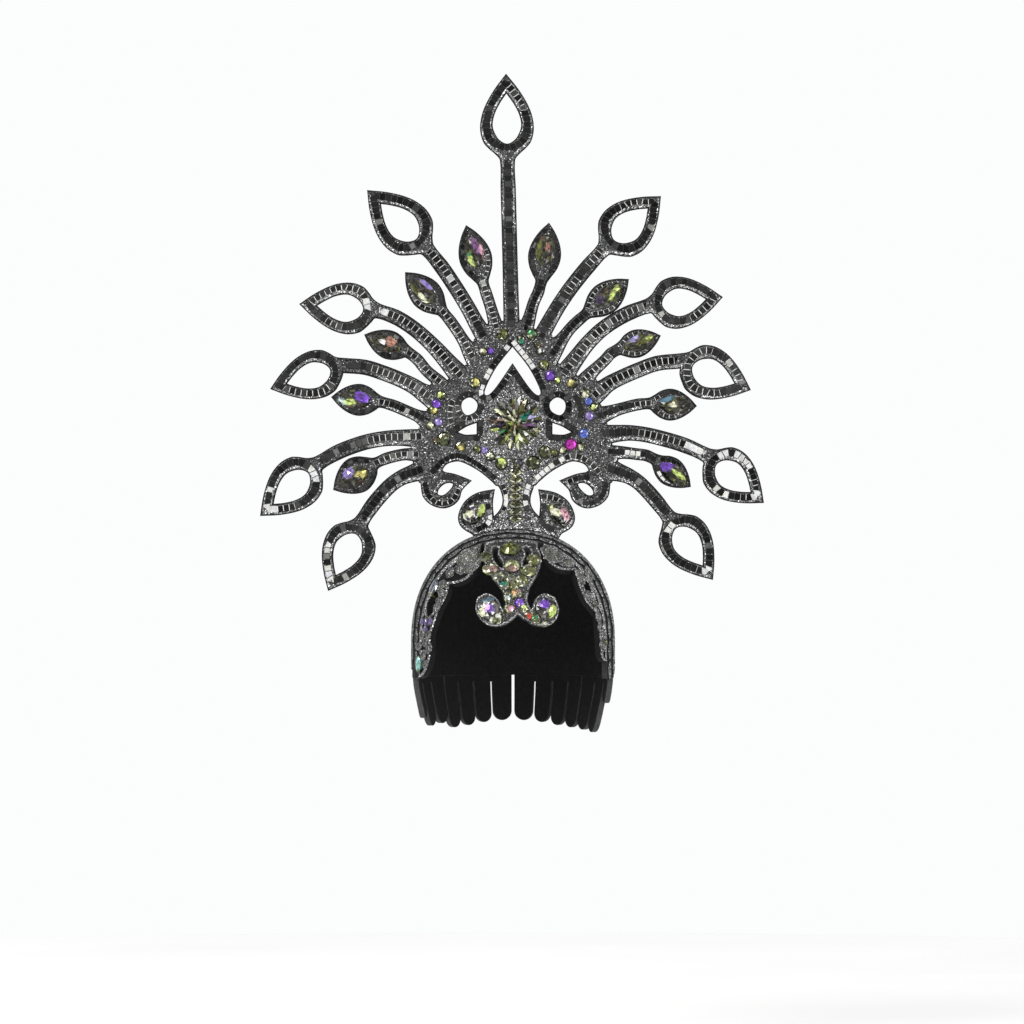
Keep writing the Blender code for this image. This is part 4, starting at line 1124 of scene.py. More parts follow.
# Rings of a cut stone from its girdle to its table: share of its outline, and of its height
STONE_RINGS = ((1.0, 0.0), (1.0, 0.20), (0.80, 0.52), (0.50, 0.94), (0.26, 1.0))
ROUND_RINGS = ((1.0, 0.0), (1.0, 0.25), (0.76, 0.80), (0.50, 1.0))
PETAL_RINGS = ((1.0, 0.0), (1.0, 0.3), (0.12, 1.0))
STONE_SPINE = 0.80
STONE_SINK = 0.0003
BIG_STONE_POINTS = 14
# How sharply the sides of a pointed stone run in to its ends
POINT_SHARPNESS = 0.6
# Small round stones on the medallion's edge, in shares of the span and of SMALL_STONE: x, z, width, colour
SMALL_STONE = 0.0080
SMALL_STONE_HEIGHT = 0.0026
SMALL_STONE_POINTS = 9
HUB_STONES = (
    (-0.021, 0.177, 1.4, "olive"), (0.016, 0.166, 1.0, "teal"), (0.038, 0.177, 1.3, "green"),
    (0.049, 0.157, 0.9, "brown"), (0.052, 0.143, 0.8, "white"), (-0.059, 0.142, 1.0, "cream"),
    (-0.044, 0.144, 0.8, "purple"), (0.062, 0.116, 1.2, "olive"), (0.074, 0.094, 1.25, "purple"),
    (0.088, 0.084, 0.9, "lime"), (0.119, 0.080, 1.2, "yellow"), (-0.076, 0.080, 1.3, "yellow"),
    (-0.143, 0.056, 1.1, "lime"), (-0.153, 0.038, 1.1, "purple"), (-0.160, 0.025, 1.1, "yellow"),
    (-0.165, -0.006, 1.0, "cream"), (-0.149, 0.002, 1.0, "violet"), (0.145, 0.059, 1.2, "cream"),
    (0.151, 0.043, 1.0, "blue"), (0.163, 0.032, 1.0, "lime"), (0.152, 0.014, 1.1, "violet"),
    (0.142, -0.022, 1.2, "blue"), (0.116, -0.043, 1.4, "magenta"), (0.136, -0.047, 1.0, "cream"),
    (-0.152, -0.036, 0.9, "brown"), (-0.105, -0.046, 1.2, "yellow"), (-0.072, -0.054, 1.0, "olive"),
    (-0.057, -0.054, 0.9, "violet"), (-0.045, -0.067, 1.1, "cream"), (-0.023, -0.081, 1.5, "lime"),
    (0.100, -0.055, 0.9, "cream"), (0.041, -0.079, 1.6, "moss"), (0.010, -0.081, 1.1, "plum"),
    (0.064, -0.058, 1.5, "moss"), (-0.138, -0.032, 1.6, "moss"), (0.083, -0.060, 0.9, "olive"),
)
# Pointed stones down the neck: their z in shares of the span, and their two streaks of painted reflection in
# shares of the stone
NECK_STONES = (-0.098, -0.113, -0.130, -0.146, -0.162, -0.177, -0.191)
NECK_STONE_LENGTH = 0.0125
NECK_STONE_WIDTH = 0.0078
NECK_STONE_POINTS = 12
NECK_GLINT_PLACE = (0.22, -0.28)
NECK_GLINT_SIZE = (0.40, 0.30)
# The medallion's flower, in shares of its radius: count, middle, length, width; the lift is in metres
BURST_RINGS = (
    (16, 0.84, 0.42, 0.27, 0.0), (14, 0.60, 0.42, 0.24, 0.0006), (10, 0.37, 0.38, 0.21, 0.0012),
    (5, 0.16, 0.28, 0.18, 0.0018),
)
BURST_SHIFT = 0.0020
BURST_CENTRE = CENTRE + Vector((BURST_SHIFT, 0.0))
PETAL_HEIGHT = 0.0024
PETAL_POINTS = 8
PETAL_PLAY = 0.10
PETAL_LEAN = 0.16
PETAL_PLACES = (0.94, 1.06)
PETAL_SIZES = (0.85, 1.15)
PETAL_STRAY = 0.12
EYE_WIDTH = 0.20
EYE_HEIGHT = 1.7
EYE_POINTS = 7
BURST_CLEAR = 2.1
BURST_CLEAR_POINTS = 32
# Petals of another colour: x and z in shares of the radius, how far they reach, colour
PETAL_PATCHES = ((0.20, 0.34, 0.17, "aqua"), (0.42, 0.32, 0.22, "teal"), (0.58, 0.22, 0.15, "lilac"),
                 (0.48, -0.05, 0.20, "mauve"), (-0.58, -0.06, 0.20, "plum"), (-0.46, -0.34, 0.17, "green"),
                 (0.28, -0.38, 0.18, "moss"), (-0.74, 0.16, 0.20, "rose"))


def pick_name(draw, table):
    """A colour's name from a table of shares."""
    share = draw.random() * sum(weight for _, weight in table)
    for name, weight in table:
        if share < weight:
            return name
        share -= weight
    return table[0][0]


def varied(draw, name):
    """A named tint made lighter or darker by up to a share."""
    tone = 1.0 + draw.uniform(-TINT_SPREAD, TINT_SPREAD)
    return tuple(min(part * tone, 1.0) for part in TINTS[name])


def stone_shade(draw, base, glints=()):
    """A function that tints a facet's corners: its tone, partly the stone's colour and partly painted
    reflection, falling off across it as painted shading, and painted streaks of reflected colour, given as
    place, length, width, turn and colour."""
    def tint(corners):
        own = varied(draw, pick_name(draw, base))
        middle = middle_of(corners)
        size = max((corner - middle).length for corner in corners)
        way = draw.uniform(0.0, 2 * math.pi)
        fall = toward(way) * FACET_FALL / max(size, SAME_CORNER)
        hold = 1.0 if draw.random() < GLINT_HOLD else GLINT_MISS
        gleam = draw.uniform(*GLINT_GLEAM)
        made = []
        for corner in corners:
            slope = (corner - middle).dot(fall)
            glow = gleam * (1 + slope * GLINT_FALL)
            colour = [part * (1 + slope) for part in own]
            for place, length, width, turn, name in glints:
                # a facet takes most of a streak from its middle, so that its edges stay crisp
                away = corner.lerp(middle, GLINT_EVEN) - place
                axis = toward(turn)
                far = math.hypot(away.dot(axis) / length, away.dot(across_of(axis)) / width) * 2
                share = hold * max(0.0, min(1.0, (1 + GLINT_BLUR - far) / GLINT_BLUR))
                colour = [part + (lit * glow - part) * share for part, lit in zip(colour, TINTS[name])]
            made.append(tuple(min(part, 1.0) for part in colour))
        return made

    return tint


def flashing(draw, name, centre, size, base=DEEP):
    """A small stone's tints: deep tones, and its colour where it catches the light."""
    way = draw.uniform(0.0, 2 * math.pi)
    off, length, width = FULL_FLASH if name in FULL_COLOURS else FLASH
    place = centre + toward(way) * size * off
    return stone_shade(draw, base, [(place, size * length, size * width, way + FLASH_TURN, name)])


def ring(width, count, height=None):
    """Outline of a round or oval stone."""
    turns = [2 * math.pi * (k + 0.5) / count for k in range(count)]
    return [Vector((width / 2 * math.cos(t), (height or width) / 2 * math.sin(t))) for t in turns]


def pointed(length, width, count):
    """Outline of a stone or leaf with two pointed ends, its length along x."""
    made = []
    for k in range(count):
        turn = 2 * math.pi * k / count
        across = width / 2 * math.sin(turn) * abs(math.sin(turn)) ** POINT_SHARPNESS
        made.append(Vector((length / 2 * math.cos(turn), across)))
    return made


def turned(points, angle, centre=Vector((0.0, 0.0))):
    """Flat points turned and moved."""
    c, s = math.cos(angle), math.sin(angle)
    return [Vector((p.x * c - p.y * s, p.x * s + p.y * c)) + centre for p in points]


def add_stone(pile, seat, outline, height, tint, rings=STONE_RINGS, sink=STONE_SINK):
    """A cut stone: rings of triangular facets that rise towards a ridge along its longer axis."""
    count = len(outline)
    middle = middle_of(outline)
    far = max(outline, key=lambda p: (p - middle).length) - middle
    axis = far.normalized()
    half_width = max(abs((p - middle).dot(across_of(axis))) for p in outline)
    reach = max(far.length - half_width, 0.0) * STONE_SPINE

    def core(place):
        along = (place - middle).dot(axis)
        return middle + axis * max(-reach, min(reach, along * reach / far.length))

    rows = []
    for level, (share, lift) in enumerate(rings):
        row = []
        for k in range(count):
            edge = outline[k].lerp(outline[(k + 1) % count], 0.5) if level > 1 and level % 2 else outline[k]
            row.append((core(edge).lerp(edge, share), lift * height if level else -sink))
        rows.append(row)
    rows.append([(core(place), height) for place, _ in rows[-1]])

    def face(*corners):
        pile.add_face([seat.at(*corner) for corner in corners], tint([flat for flat, _ in corners]))

    for level, (low, high) in enumerate(zip(rows, rows[1:])):
        for k in range(count):
            after = (k + 1) % count
            if level == len(rings) - 1:
                ridge = (high[after][0] - high[k][0]).length > SAME_CORNER
                face(low[k], low[after], *([high[after]] if ridge else []), high[k])
            elif level == 0:
                face(low[k], low[after], high[after], high[k])
            elif level % 2:
                face(low[k], low[after], high[after])
                face(low[k], high[after], high[k])
            else:
                face(low[k], low[after], high[k])
                face(low[after], high[after], high[k])
    pile.add_face([seat.at(*corner) for corner in rows[0][::-1]], TINTS["dark"])


def stone_loop(name):
    """The outline of a stone on the crest, from its flat back."""
    shape = merged(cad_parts[name].data)
    back = max(vert.co.y for vert in shape.verts)
    flat = [Vector((vert.co.x, vert.co.z)) for vert in shape.verts if vert.co.y > back - SAME_PLACE]
    shape.free()
    middle = middle_of(flat)
    flat.sort(key=lambda p: math.atan2(p.y - middle.y, p.x - middle.x))
    return rounded_loop(flat)


def evenly(loop, count):
    """A closed outline as evenly spaced points."""
    path = loop + loop[:1]
    total = length_of(path)
    return [at_length(path, total * (k + 0.5) / count)[0] for k in range(count)]


def make_big_stones():
    """The stones with nodes of their own on the crest; returns their outlines."""
    draw = random.Random(SEEDS["big_stones"])
    glints = []
    for x, z, length, width, turn, name in GLINTS:
        glints.append((on_crest(x, z), length, width, math.radians(turn), name))
    kinds = [(f"leaf_stone_{key}", SMOKY, "smoky_stone") for key in LEAF_RAYS]
    kinds += [(f"foot_stone_{word}", CLEAR, "rainbow_stone") for word in SIDES]
    footprints = []
    for name, base, slot in kinds:
        outline = stone_loop(name)
        low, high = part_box(name)
        pile = Pile()
        tint = stone_shade(draw, base, glints)
        cut = evenly(outline, BIG_STONE_POINTS)
        add_stone(pile, upright_seat(high.y), cut, high.y - low.y, tint, sink=0.0)
        pile.link(f"cut_{name}", slot, [name])
        footprints.append(Outline(outline))
    return footprints


def make_small_stones():
    """The round stones on the medallion and the pointed ones down its neck; returns their outlines."""
    draw = random.Random(SEEDS["small_stones"])
    pile = Pile()
    footprints = []

    def add(outline, tint):
        add_stone(pile, CREST_SEAT, outline, SMALL_STONE_HEIGHT, tint, ROUND_RINGS)
        footprints.append(Outline(outline))

    for x, z, width, name in HUB_STONES:
        centre = on_crest(x, z)
        outline = turned(ring(SMALL_STONE * width, SMALL_STONE_POINTS), draw.uniform(0.0, 1.0), centre)
        add(outline, flashing(draw, name, centre, SMALL_STONE * width))
    size = Vector((NECK_STONE_LENGTH, NECK_STONE_WIDTH))
    neck_stone = pointed(NECK_STONE_LENGTH, NECK_STONE_WIDTH, NECK_STONE_POINTS)
    for z in NECK_STONES:
        centre = on_crest(MIRROR_LINE, z)
        glints = []
        for side in SIDES.values():
            place = centre + size * Vector((side * NECK_GLINT_PLACE[0], NECK_GLINT_PLACE[1]))
            glints.append((place, *(size * Vector(NECK_GLINT_SIZE)), side * FLASH_TURN, "cream"))
        add(turned(neck_stone, 0.0, centre), stone_shade(draw, DEEP, glints))
    pile.link("medallion_stones", "smoky_stone")
    return footprints


def petal_shade(draw, angle, centre):
    """A petal's tints: one side of its ridge painted as catching the light, the other painted in shade."""
    bright = varied(draw, pick_name(draw, PETAL_LIGHT))
    for x, z, reach, name in PETAL_PATCHES:
        if ((centre - BURST_CENTRE) / BURST_RADIUS - Vector((x, z))).length < reach:
            bright = varied(draw, name)
    deep = varied(draw, pick_name(draw, PETAL_DEEP))
    across = across_of(toward(angle)) * draw.choice((-1, 1))

    def tint(corners):
        lit = (middle_of(corners) - centre).dot(across) > 0
        if draw.random() < PETAL_STRAY:
            lit = not lit
        return bright if lit else deep

    return tint


def make_burst():
    """The medallion's flower: rings of pointed stones round an eye; returns the outline that it takes."""
    draw = random.Random(SEEDS["burst"])
    pile = Pile()
    back = BURST_HIGH.y
    for count, place, length, width, lift in BURST_RINGS:
        for k in range(count):
            angle = 2 * math.pi * (k + 0.5) / count + draw.uniform(-PETAL_PLAY, PETAL_PLAY)
            out = place * draw.uniform(*PETAL_PLACES)
            centre = BURST_CENTRE + toward(angle) * out * BURST_RADIUS
            lean = angle + draw.uniform(-PETAL_LEAN, PETAL_LEAN)
            size = draw.uniform(*PETAL_SIZES)
            petal = pointed(length * BURST_RADIUS * size, width * BURST_RADIUS * size, PETAL_POINTS)
            outline = turned(petal, lean, centre)
            tint = petal_shade(draw, lean, centre)
            add_stone(pile, upright_seat(back - lift), outline, PETAL_HEIGHT, tint, PETAL_RINGS, lift)
    eye = turned(ring(EYE_WIDTH * BURST_RADIUS, EYE_POINTS), 0.0, BURST_CENTRE)
    tint = stone_shade(draw, DEEP)
    add_stone(pile, upright_seat(back), eye, PETAL_HEIGHT * EYE_HEIGHT, tint, ROUND_RINGS, 0.0)
    pile.link("burst_petals", "smoky_stone", ["burst_stones"])
    return Outline(turned(ring(BURST_CLEAR * BURST_RADIUS, BURST_CLEAR_POINTS), 0.0, BURST_CENTRE))


# The cap

# Rows of raised leaves on the hoops: the hoop's lift, then place, width, length, pitch and shift of each row
HOOPS = {
    "hoop_back": (0.0, (
        (-0.0160, 0.0066, 0.0185, 0.0190, 0.0), (-0.0078, 0.0074, 0.0190, 0.0190, 0.5),
        (0.0010, 0.0078, 0.0190, 0.0190, 0.0), (0.0098, 0.0078, 0.0190, 0.0190, 0.5),
        (0.0185, 0.0070, 0.0190, 0.0190, 0.0),
    )),
    "hoop_middle": (0.0012, ((-0.0263, 0.0082, 0.0200, 0.0200, 0.25),)),
    "hoop_front": (0.0, ((-0.0376, 0.0066, 0.0170, 0.0175, 0.75),)),
}
HOOP_STEP = 0.006
# How near a hoop's end the middle of its last leaf may lie, in shares of the leaf
HOOP_END = 0.42
# Leaves: their sizes, then each level's shares of the ridge's width inwards and of the height, and the look
# of each band between levels; the foot's look is painted shade, the ridge's partly painted highlight
LEAF_HEIGHT = 0.0014
LEAF_RIDGE = 0.0011
LEAF_SINK = 0.0006
LEAF_POINTS = 20
LEAF_LEVELS = ((0.0, 0.5), (0.3, 1.0), (0.7, 1.0), (1.0, 0.35))
LEAF_BOTTOM = (0.5, 0.40)
LEAF_MIDDLE = 0.45
LEAF_LOOKS = (2, 0, 0, 0, 1)
RIM_STEP = 0.004
RIM_LEAF_HEIGHT = LEAF_HEIGHT * 1.3
# Raised leaves of the rims: x and drop in shares of the front hoop's edge, length, width, turn in degrees
RIM_LEAVES = {
    "left": (
        (-0.476, 0.187, 0.0225, 0.0140, 33.0), (-0.388, 0.238, 0.0120, 0.0060, 35.0),
        (-0.455, 0.300, 0.0125, 0.0075, 28.0), (-0.551, 0.310, 0.0095, 0.0080, 30.0),
        (-0.658, 0.336, 0.0110, 0.0065, 55.0), (-0.728, 0.446, 0.0085, 0.0075, 75.0),
        (-0.774, 0.494, 0.0075, 0.0055, 80.0), (-0.739, 0.530, 0.0075, 0.0060, 60.0),
        (-0.797, 0.666, 0.0115, 0.0058, 70.0), (-0.773, 0.600, 0.0080, 0.0055, 65.0),
        (-0.953, 0.926, 0.0120, 0.0048, 85.0), (-0.887, 0.935, 0.0095, 0.0045, 80.0),
        (-0.916, 1.000, 0.0095, 0.0050, 80.0), (-0.880, 1.060, 0.0110, 0.0050, 78.0),
        (-0.985, 1.046, 0.0080, 0.0048, 80.0), (-0.941, 1.128, 0.0115, 0.0048, 82.0),
        (-0.916, 1.210, 0.0085, 0.0050, 70.0),
    ),
    "right": (
        (0.413, 0.158, 0.0235, 0.0135, -30.0), (0.573, 0.240, 0.0130, 0.0075, -25.0),
        (0.793, 0.351, 0.0160, 0.0055, -72.0), (0.705, 0.369, 0.0160, 0.0060, -58.0),
        (0.805, 0.562, 0.0130, 0.0060, -62.0), (0.868, 0.650, 0.0120, 0.0050, -65.0),
        (0.895, 0.760, 0.0110, 0.0045, -78.0), (0.915, 0.860, 0.0100, 0.0045, -80.0),
        (0.950, 0.940, 0.0110, 0.0040, -85.0), (0.935, 1.040, 0.0110, 0.0045, -80.0),
    ),
}
# Stones of the rims: the same, and a colour
RIM_STONES = {
    "left": (
        (-0.826, 0.478, 0.0175, 0.0120, 104.0, "slate"), (-0.940, 0.796, 0.0095, 0.0046, 70.0, "dusk"),
        (-0.899, 0.812, 0.0100, 0.0046, 95.0, "dusk"), (-0.855, 0.800, 0.0100, 0.0044, 75.0, "dusk"),
        (-0.905, 0.872, 0.0080, 0.0044, 90.0, "dusk"), (-0.985, 1.212, 0.0175, 0.0090, 88.0, "aqua"),
    ),
    "right": (
        (0.838, 0.640, 0.0040, 0.0040, 0.0, "grey"), (0.957, 1.000, 0.0060, 0.0035, 90.0, "grey"),
    ),
}
RIM_STONE_LIFT = 0.0008
RIM_STONE_HEIGHT = 0.0028
RIM_STONE_SINK = 0.002
RIM_STONE_POINTS = 12
RIM_FLASH = 0.7
# Small stones of the ornament: x, drop, length, width, turn in degrees, colour
ORNAMENT_STONES = (
    (-0.297, 0.175, 0.0125, 0.0125, 20.0, "moss"), (-0.238, 0.285, 0.0145, 0.0140, 0.0, "rose"),
    (-0.155, 0.365, 0.0110, 0.0105, 0.0, "grey"), (0.222, 0.203, 0.0140, 0.0140, 0.0, "olive"),
    (0.165, 0.305, 0.0135, 0.0135, 0.0, "olive"), (0.089, 0.405, 0.0120, 0.0120, 0.0, "olive"),
    (-0.028, 0.385, 0.0110, 0.0100, 0.0, "grey"), (-0.088, 0.452, 0.0105, 0.0090, 0.0, "teal"),
    (0.008, 0.460, 0.0085, 0.0085, 0.0, "olive"), (-0.060, 0.556, 0.0078, 0.0125, 0.0, "ice"),
    (0.002, 0.540, 0.0076, 0.0088, 0.0, "orange"), (0.062, 0.520, 0.0080, 0.0085, 0.0, "rose"),
    (0.070, 0.615, 0.0090, 0.0085, 0.0, "purple"), (-0.043, 0.672, 0.0105, 0.0100, 0.0, "pink"),
    (-0.152, 0.755, 0.0070, 0.0115, 0.0, "white"), (-0.215, 0.780, 0.0070, 0.0085, 30.0, "white"),
    (0.115, 0.672, 0.0078, 0.0085, 0.0, "lime"), (0.168, 0.730, 0.0090, 0.0085, 0.0, "red"),
    (0.236, 0.770, 0.0085, 0.0080, 0.0, "green"), (0.330, 0.815, 0.0066, 0.0062, 0.0, "grey"),
)
ORNAMENT_STONE_HEIGHT = 0.0026
ORNAMENT_STONE_SINK = 0.001
ORNAMENT_STONE_POINTS = 11
# Large round stones: node, slot, x, drop and tones (partly the stones' colour, partly painted reflection),
# then streaks of painted reflection: place, length and width in shares of the stone's width, turn in degrees
# and colour
OLIVE_TONES = (("olive", 0.46), ("moss", 0.30), ("smoke", 0.16), ("lime", 0.08))
CLEAR_TONES = (("smoke", 0.36), ("dark", 0.26), ("grey", 0.26), ("white", 0.12))
FOREHEAD_STONES = (
    ("forehead_stone_top", "smoky_stone", -0.027, 0.102, OLIVE_TONES, (
        (-0.20, 0.30, 0.10, 0.08, 0, "cream"), (0.10, 0.32, 0.10, 0.08, 0, "cream"))),
    ("forehead_stone_middle", "smoky_stone", -0.011, 0.263, OLIVE_TONES, (
        (-0.24, -0.06, 0.34, 0.20, 10, "cream"), (-0.06, 0.28, 0.26, 0.12, 0, "cream"),
        (0.32, 0.02, 0.16, 0.34, 20, "cream"), (0.0, -0.36, 0.70, 0.24, 0, "rose"))),
    ("scroll_stone_left", "rainbow_stone", -0.259, 0.667, CLEAR_TONES, (
        (-0.28, -0.22, 0.34, 0.34, 0, "cream"), (0.10, -0.06, 0.32, 0.34, 0, "purple"),
        (0.0, 0.38, 0.60, 0.16, 10, "steel"))),
    ("scroll_stone_right", "rainbow_stone", 0.349, 0.667, CLEAR_TONES, (
        (-0.10, 0.16, 0.36, 0.42, 0, "purple"), (0.26, -0.20, 0.34, 0.56, -20, "lime"),
        (-0.28, -0.20, 0.40, 0.30, 0, "smoke"))),
)
FOREHEAD_STONE_LIFT = 0.0003
FOREHEAD_STONE_HEIGHT = 0.0044
FOREHEAD_STONE_POINTS = 16
# Hanging strips: side, azimuths from the front in degrees, and the tips' drops in shares of NAPE_DROP
STRIP_COMBS = {
    "side_strips_left": (-1, 92.0, 134.0, (0.83, 0.92, 0.90)),
    "side_strips_right": (1, 92.0, 134.0, (0.67, 0.99, 0.97)),
    "nape_strips_left": (-1, 134.0, 180.0, (0.95, 0.93, 0.90, 0.88)),
    "nape_strips_right": (1, 134.0, 180.0, (0.95, 0.93, 0.90, 0.88)),
}
STRIP_GAP = 0.0016
STRIP_BAND = 0.006
STRIP_TIP_POINTS = 12
STRIP_STEP = 0.003
STRIP_PITCH = 0.004
STRIP_LEAN = 0.0012
STRIP_LEAN_REACH = 1.5
STRIP_BOW = 0.0009
STRIP_BOW_START = 4
# Back of the cap: its panels' seams and its border, and how finely they are made
SEAM_TURNS = (-60.0, -30.0, 0.0, 30.0, 60.0)
SEAM_SIZE = (0.0024, 0.0008)
SEAM_TOP = 1.1
SEAM_POINTS = 30
SEAM_START = 2
SEAM_SPREAD = 6
BACK_BORDER_SIZE = (0.0040, 0.0012)
BACK_BORDER_RISE = 0.004
BACK_BORDER_POINTS = 60
BACK_STEP = 0.006
BACK_EDGE_POINTS = 24
RIDGE_SECTION = (
    (-0.5, -0.4), (-0.46, 0.3), (-0.30, 0.85), (0.0, 1.0), (0.30, 0.85), (0.46, 0.3), (0.5, -0.4),
)


def signed_power(value, power):
    """A power of a number's size, with the number's sign."""
    return math.copysign(abs(value) ** power, value)


def cap_scale(y):
    """How much smaller the cap's cross-section is at y than in its middle."""
    return (1 - (abs(y) / HALF_DEPTH) ** CAP_ROUNDNESS) ** (1 / CAP_ROUNDNESS)


def cap_normal(point):
    """The outward direction of the cap's surface."""
    power = CAP_ROUNDNESS - 1
    rise = max(point.z - EQUATOR, 0.0) / CAP_DOME_RISE
    slope = Vector((
        signed_power(point.x / HALF_WIDTH, power) / HALF_WIDTH,
        signed_power(point.y / HALF_DEPTH, power) / HALF_DEPTH,
        rise**power / CAP_DOME_RISE,
    ))
    return slope.normalized()


def slice_point(flat):
    """A place on a hoop: flat.x runs along it from the top, flat.y is the real y."""
    turn = flat.x / QUARTER_ARC
    scale = cap_scale(flat.y)
    angle = min(abs(turn), 1.0) * math.pi / 2
    x = HALF_WIDTH * scale * math.sin(angle) ** (2 / CAP_ROUNDNESS)
    z = EQUATOR + CAP_DOME_RISE * scale * max(math.cos(angle), 0.0) ** (2 / CAP_ROUNDNESS)
    z -= max(abs(turn) - 1.0, 0.0) * QUARTER_ARC
    return Vector((math.copysign(x, turn), flat.y, z))


def front_point(flat):
    """A place on the cap's front half, from its x and z."""
    rise = max(flat.y - EQUATOR, 0.0) / CAP_DOME_RISE
    left = 1 - (abs(flat.x) / HALF_WIDTH) ** CAP_ROUNDNESS - rise**CAP_ROUNDNESS
    return Vector((flat.x, -HALF_DEPTH * max(left, 0.0) ** (1 / CAP_ROUNDNESS), flat.y))


def back_point(flat):
    """A place on the cap by azimuth from straight back and by the way down from the top."""
    azimuth = flat.x / HALF_WIDTH
    way = flat.y / CAP_DOME_RISE
    angle = min(way, math.pi / 2)
    share = math.sin(angle) ** (2 / CAP_ROUNDNESS)
    z = EQUATOR + CAP_DOME_RISE * max(math.cos(angle), 0.0) ** (2 / CAP_ROUNDNESS)
    z -= max(way - math.pi / 2, 0.0) * CAP_DOME_RISE
    below = max(EAR_Z - z, 0.0) / (NAPE_DROP - EAR_DROP)
    share *= 1 - NAPE_TAPER * below**NAPE_CURVE
    x = signed_power(math.sin(azimuth), 2 / CAP_ROUNDNESS)
    y = signed_power(math.cos(azimuth), 2 / CAP_ROUNDNESS)
    return Vector((HALF_WIDTH * share * x, HALF_DEPTH * share * y, z))


def raised(place, lift=0.0):
    """A surface function: a flat place on the cap and a height above it."""
    def surface(flat, height):
        point = place(flat)
        return point + cap_normal(point) * (height + lift)
    return surface


FRONT_SURFACE = raised(front_point)
BACK_SURFACE = raised(back_point)


def pierced_plate(name, node, thickness, looks, borders, border):
    """A pierced plate on the cap's front, with raised borders along its edges. Its outer face's outlines, in
    x and z, are read from the inner face of its CAD node."""
    def faces_in(face):
        return face.normal.dot(cap_normal(face.calc_center_median())) < FACES_IN

    def flat_of(inner):
        outer = inner
        for _ in range(NORMAL_TRIES):
            outer = inner + cap_normal(outer) * thickness
        return Vector((outer.x, outer.z))

    outline, *holes = face_loops(node, faces_in, flat_of)
    region = Region([outline], holes)
    sheet = foam_sheet(region, FRONT_SURFACE, thickness, CAP_EDGE_ROUND, RIM_STEP)
    link_piece(name, sheet, looks, [node])
    for loop in region.loops:
        add_border(borders, region, loop, FRONT_SURFACE, *border)


def add_leaf(shape, surface, centre, angle, length, width, height=LEAF_HEIGHT):
    """A raised foam leaf: a rounded ridge round a lower middle, its foot near black as painted shade."""
    outline = turned(pointed(length, width, LEAF_POINTS), angle, centre)
    ridge = 2 * LEAF_RIDGE / width
    levels = [(1.0, -LEAF_SINK)]
    levels += [(1 - ridge * share, height * lift) for share, lift in LEAF_LEVELS]
    levels.append(((1 - ridge) * LEAF_BOTTOM[0], height * LEAF_BOTTOM[1]))
    rows = []
    for share, lift in levels:
        rows.append([shape.verts.new(surface(centre.lerp(p, share), lift)) for p in outline])
    for level, _, corners in bands(rows):
        face = shape.faces.new(corners)
        face.material_index = LEAF_LOOKS[level]
        face.smooth = level == len(LEAF_LEVELS)
    top = shape.verts.new(surface(centre, height * LEAF_MIDDLE))
    for before, after in zip(rows[-1][-1:] + rows[-1][:-1], rows[-1]):
        face = shape.faces.new((before, after, top))
        face.material_index = 1
        face.smooth = True
    shape.faces.new(rows[0][::-1])


def make_hoop(name, lift, leaf_table):
    """A foam band over the cap, with rows of raised leaves; its face between them is near black as painted
    shade, and its inside painted dark as shade.
    """
    low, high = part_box(name)
    reach = QUARTER_ARC + EAR_DROP
    corners = ((-reach, low.y), (reach, low.y), (reach, high.y), (-reach, high.y))
    region = Region([dense_loop([Vector(c) for c in corners], HOOP_STEP)])
    surface = raised(slice_point, lift)
    band = foam_sheet(region, surface, CAP_THICKNESS + lift, CAP_EDGE_ROUND, HOOP_STEP)
    link_piece(f"{name}_band", band, ("gap", "pale_edge", "inner"), [name])
    leaves = bmesh.new()
    for row_y, width, length, pitch, shift in leaf_table:
        count = int(reach / pitch) + 1
        for k in range(-count, count + 1):
            along = (k + shift) * pitch
            if abs(along) <= reach - length * HOOP_END:
                add_leaf(leaves, surface, Vector((along, row_y)), 0.0, length, width)
    link_piece(f"{name}_leaves", to_mesh(leaves), ("ridge", "cap", "gap"))


def on_rim(x, drop):
    """A flat place on the cap's front, from shares of the front hoop's edge."""
    scale = cap_scale(RIM_Y)
    return Vector((x * HALF_WIDTH * scale, EQUATOR + (1 - drop) * CAP_DOME_RISE * scale))


def cap_seat(flat, lift=0.0):
    """A seat on the cap's front for a stone."""
    origin = front_point(flat)
    out = cap_normal(origin)
    right = UP.cross(out).normalized()
    return Seat(origin + out * lift, right, out.cross(right), out)


def make_rims():
    """The pierced bands down the two sides of the front, with raised borders, leaves and stones; their face
    and edges are near black as painted shade, and their inside painted dark as shade.
    """
    draw = random.Random(SEEDS["rims"])
    leaves = bmesh.new()
    borders = bmesh.new()
    pile = Pile()
    for word in SIDES:
        name = f"rim_{word}"
        looks = ("gap", "gap", "inner")
        pierced_plate(f"{name}_band", name, CAP_THICKNESS, looks, borders, RIM_BORDER)
        for x, drop, length, width, turn in RIM_LEAVES[word]:
            place = on_rim(x, drop)
            add_leaf(leaves, FRONT_SURFACE, place, math.radians(turn), length, width, RIM_LEAF_HEIGHT)
        for x, drop, length, width, turn, colour in RIM_STONES[word]:
            seat = cap_seat(on_rim(x, drop), RIM_STONE_LIFT)
            outline = turned(pointed(length, width, RIM_STONE_POINTS), math.radians(turn))
            tint = flashing(draw, colour, Vector((0.0, 0.0)), length * RIM_FLASH)
            add_stone(pile, seat, outline, RIM_STONE_HEIGHT, tint, ROUND_RINGS, RIM_STONE_SINK)
    link_piece("rim_leaves", to_mesh(leaves), ("ridge", "petal", "gap"))
    link_piece("rim_borders", to_mesh(borders), ("silver",))
    pile.link("rim_stones", "smoky_stone")


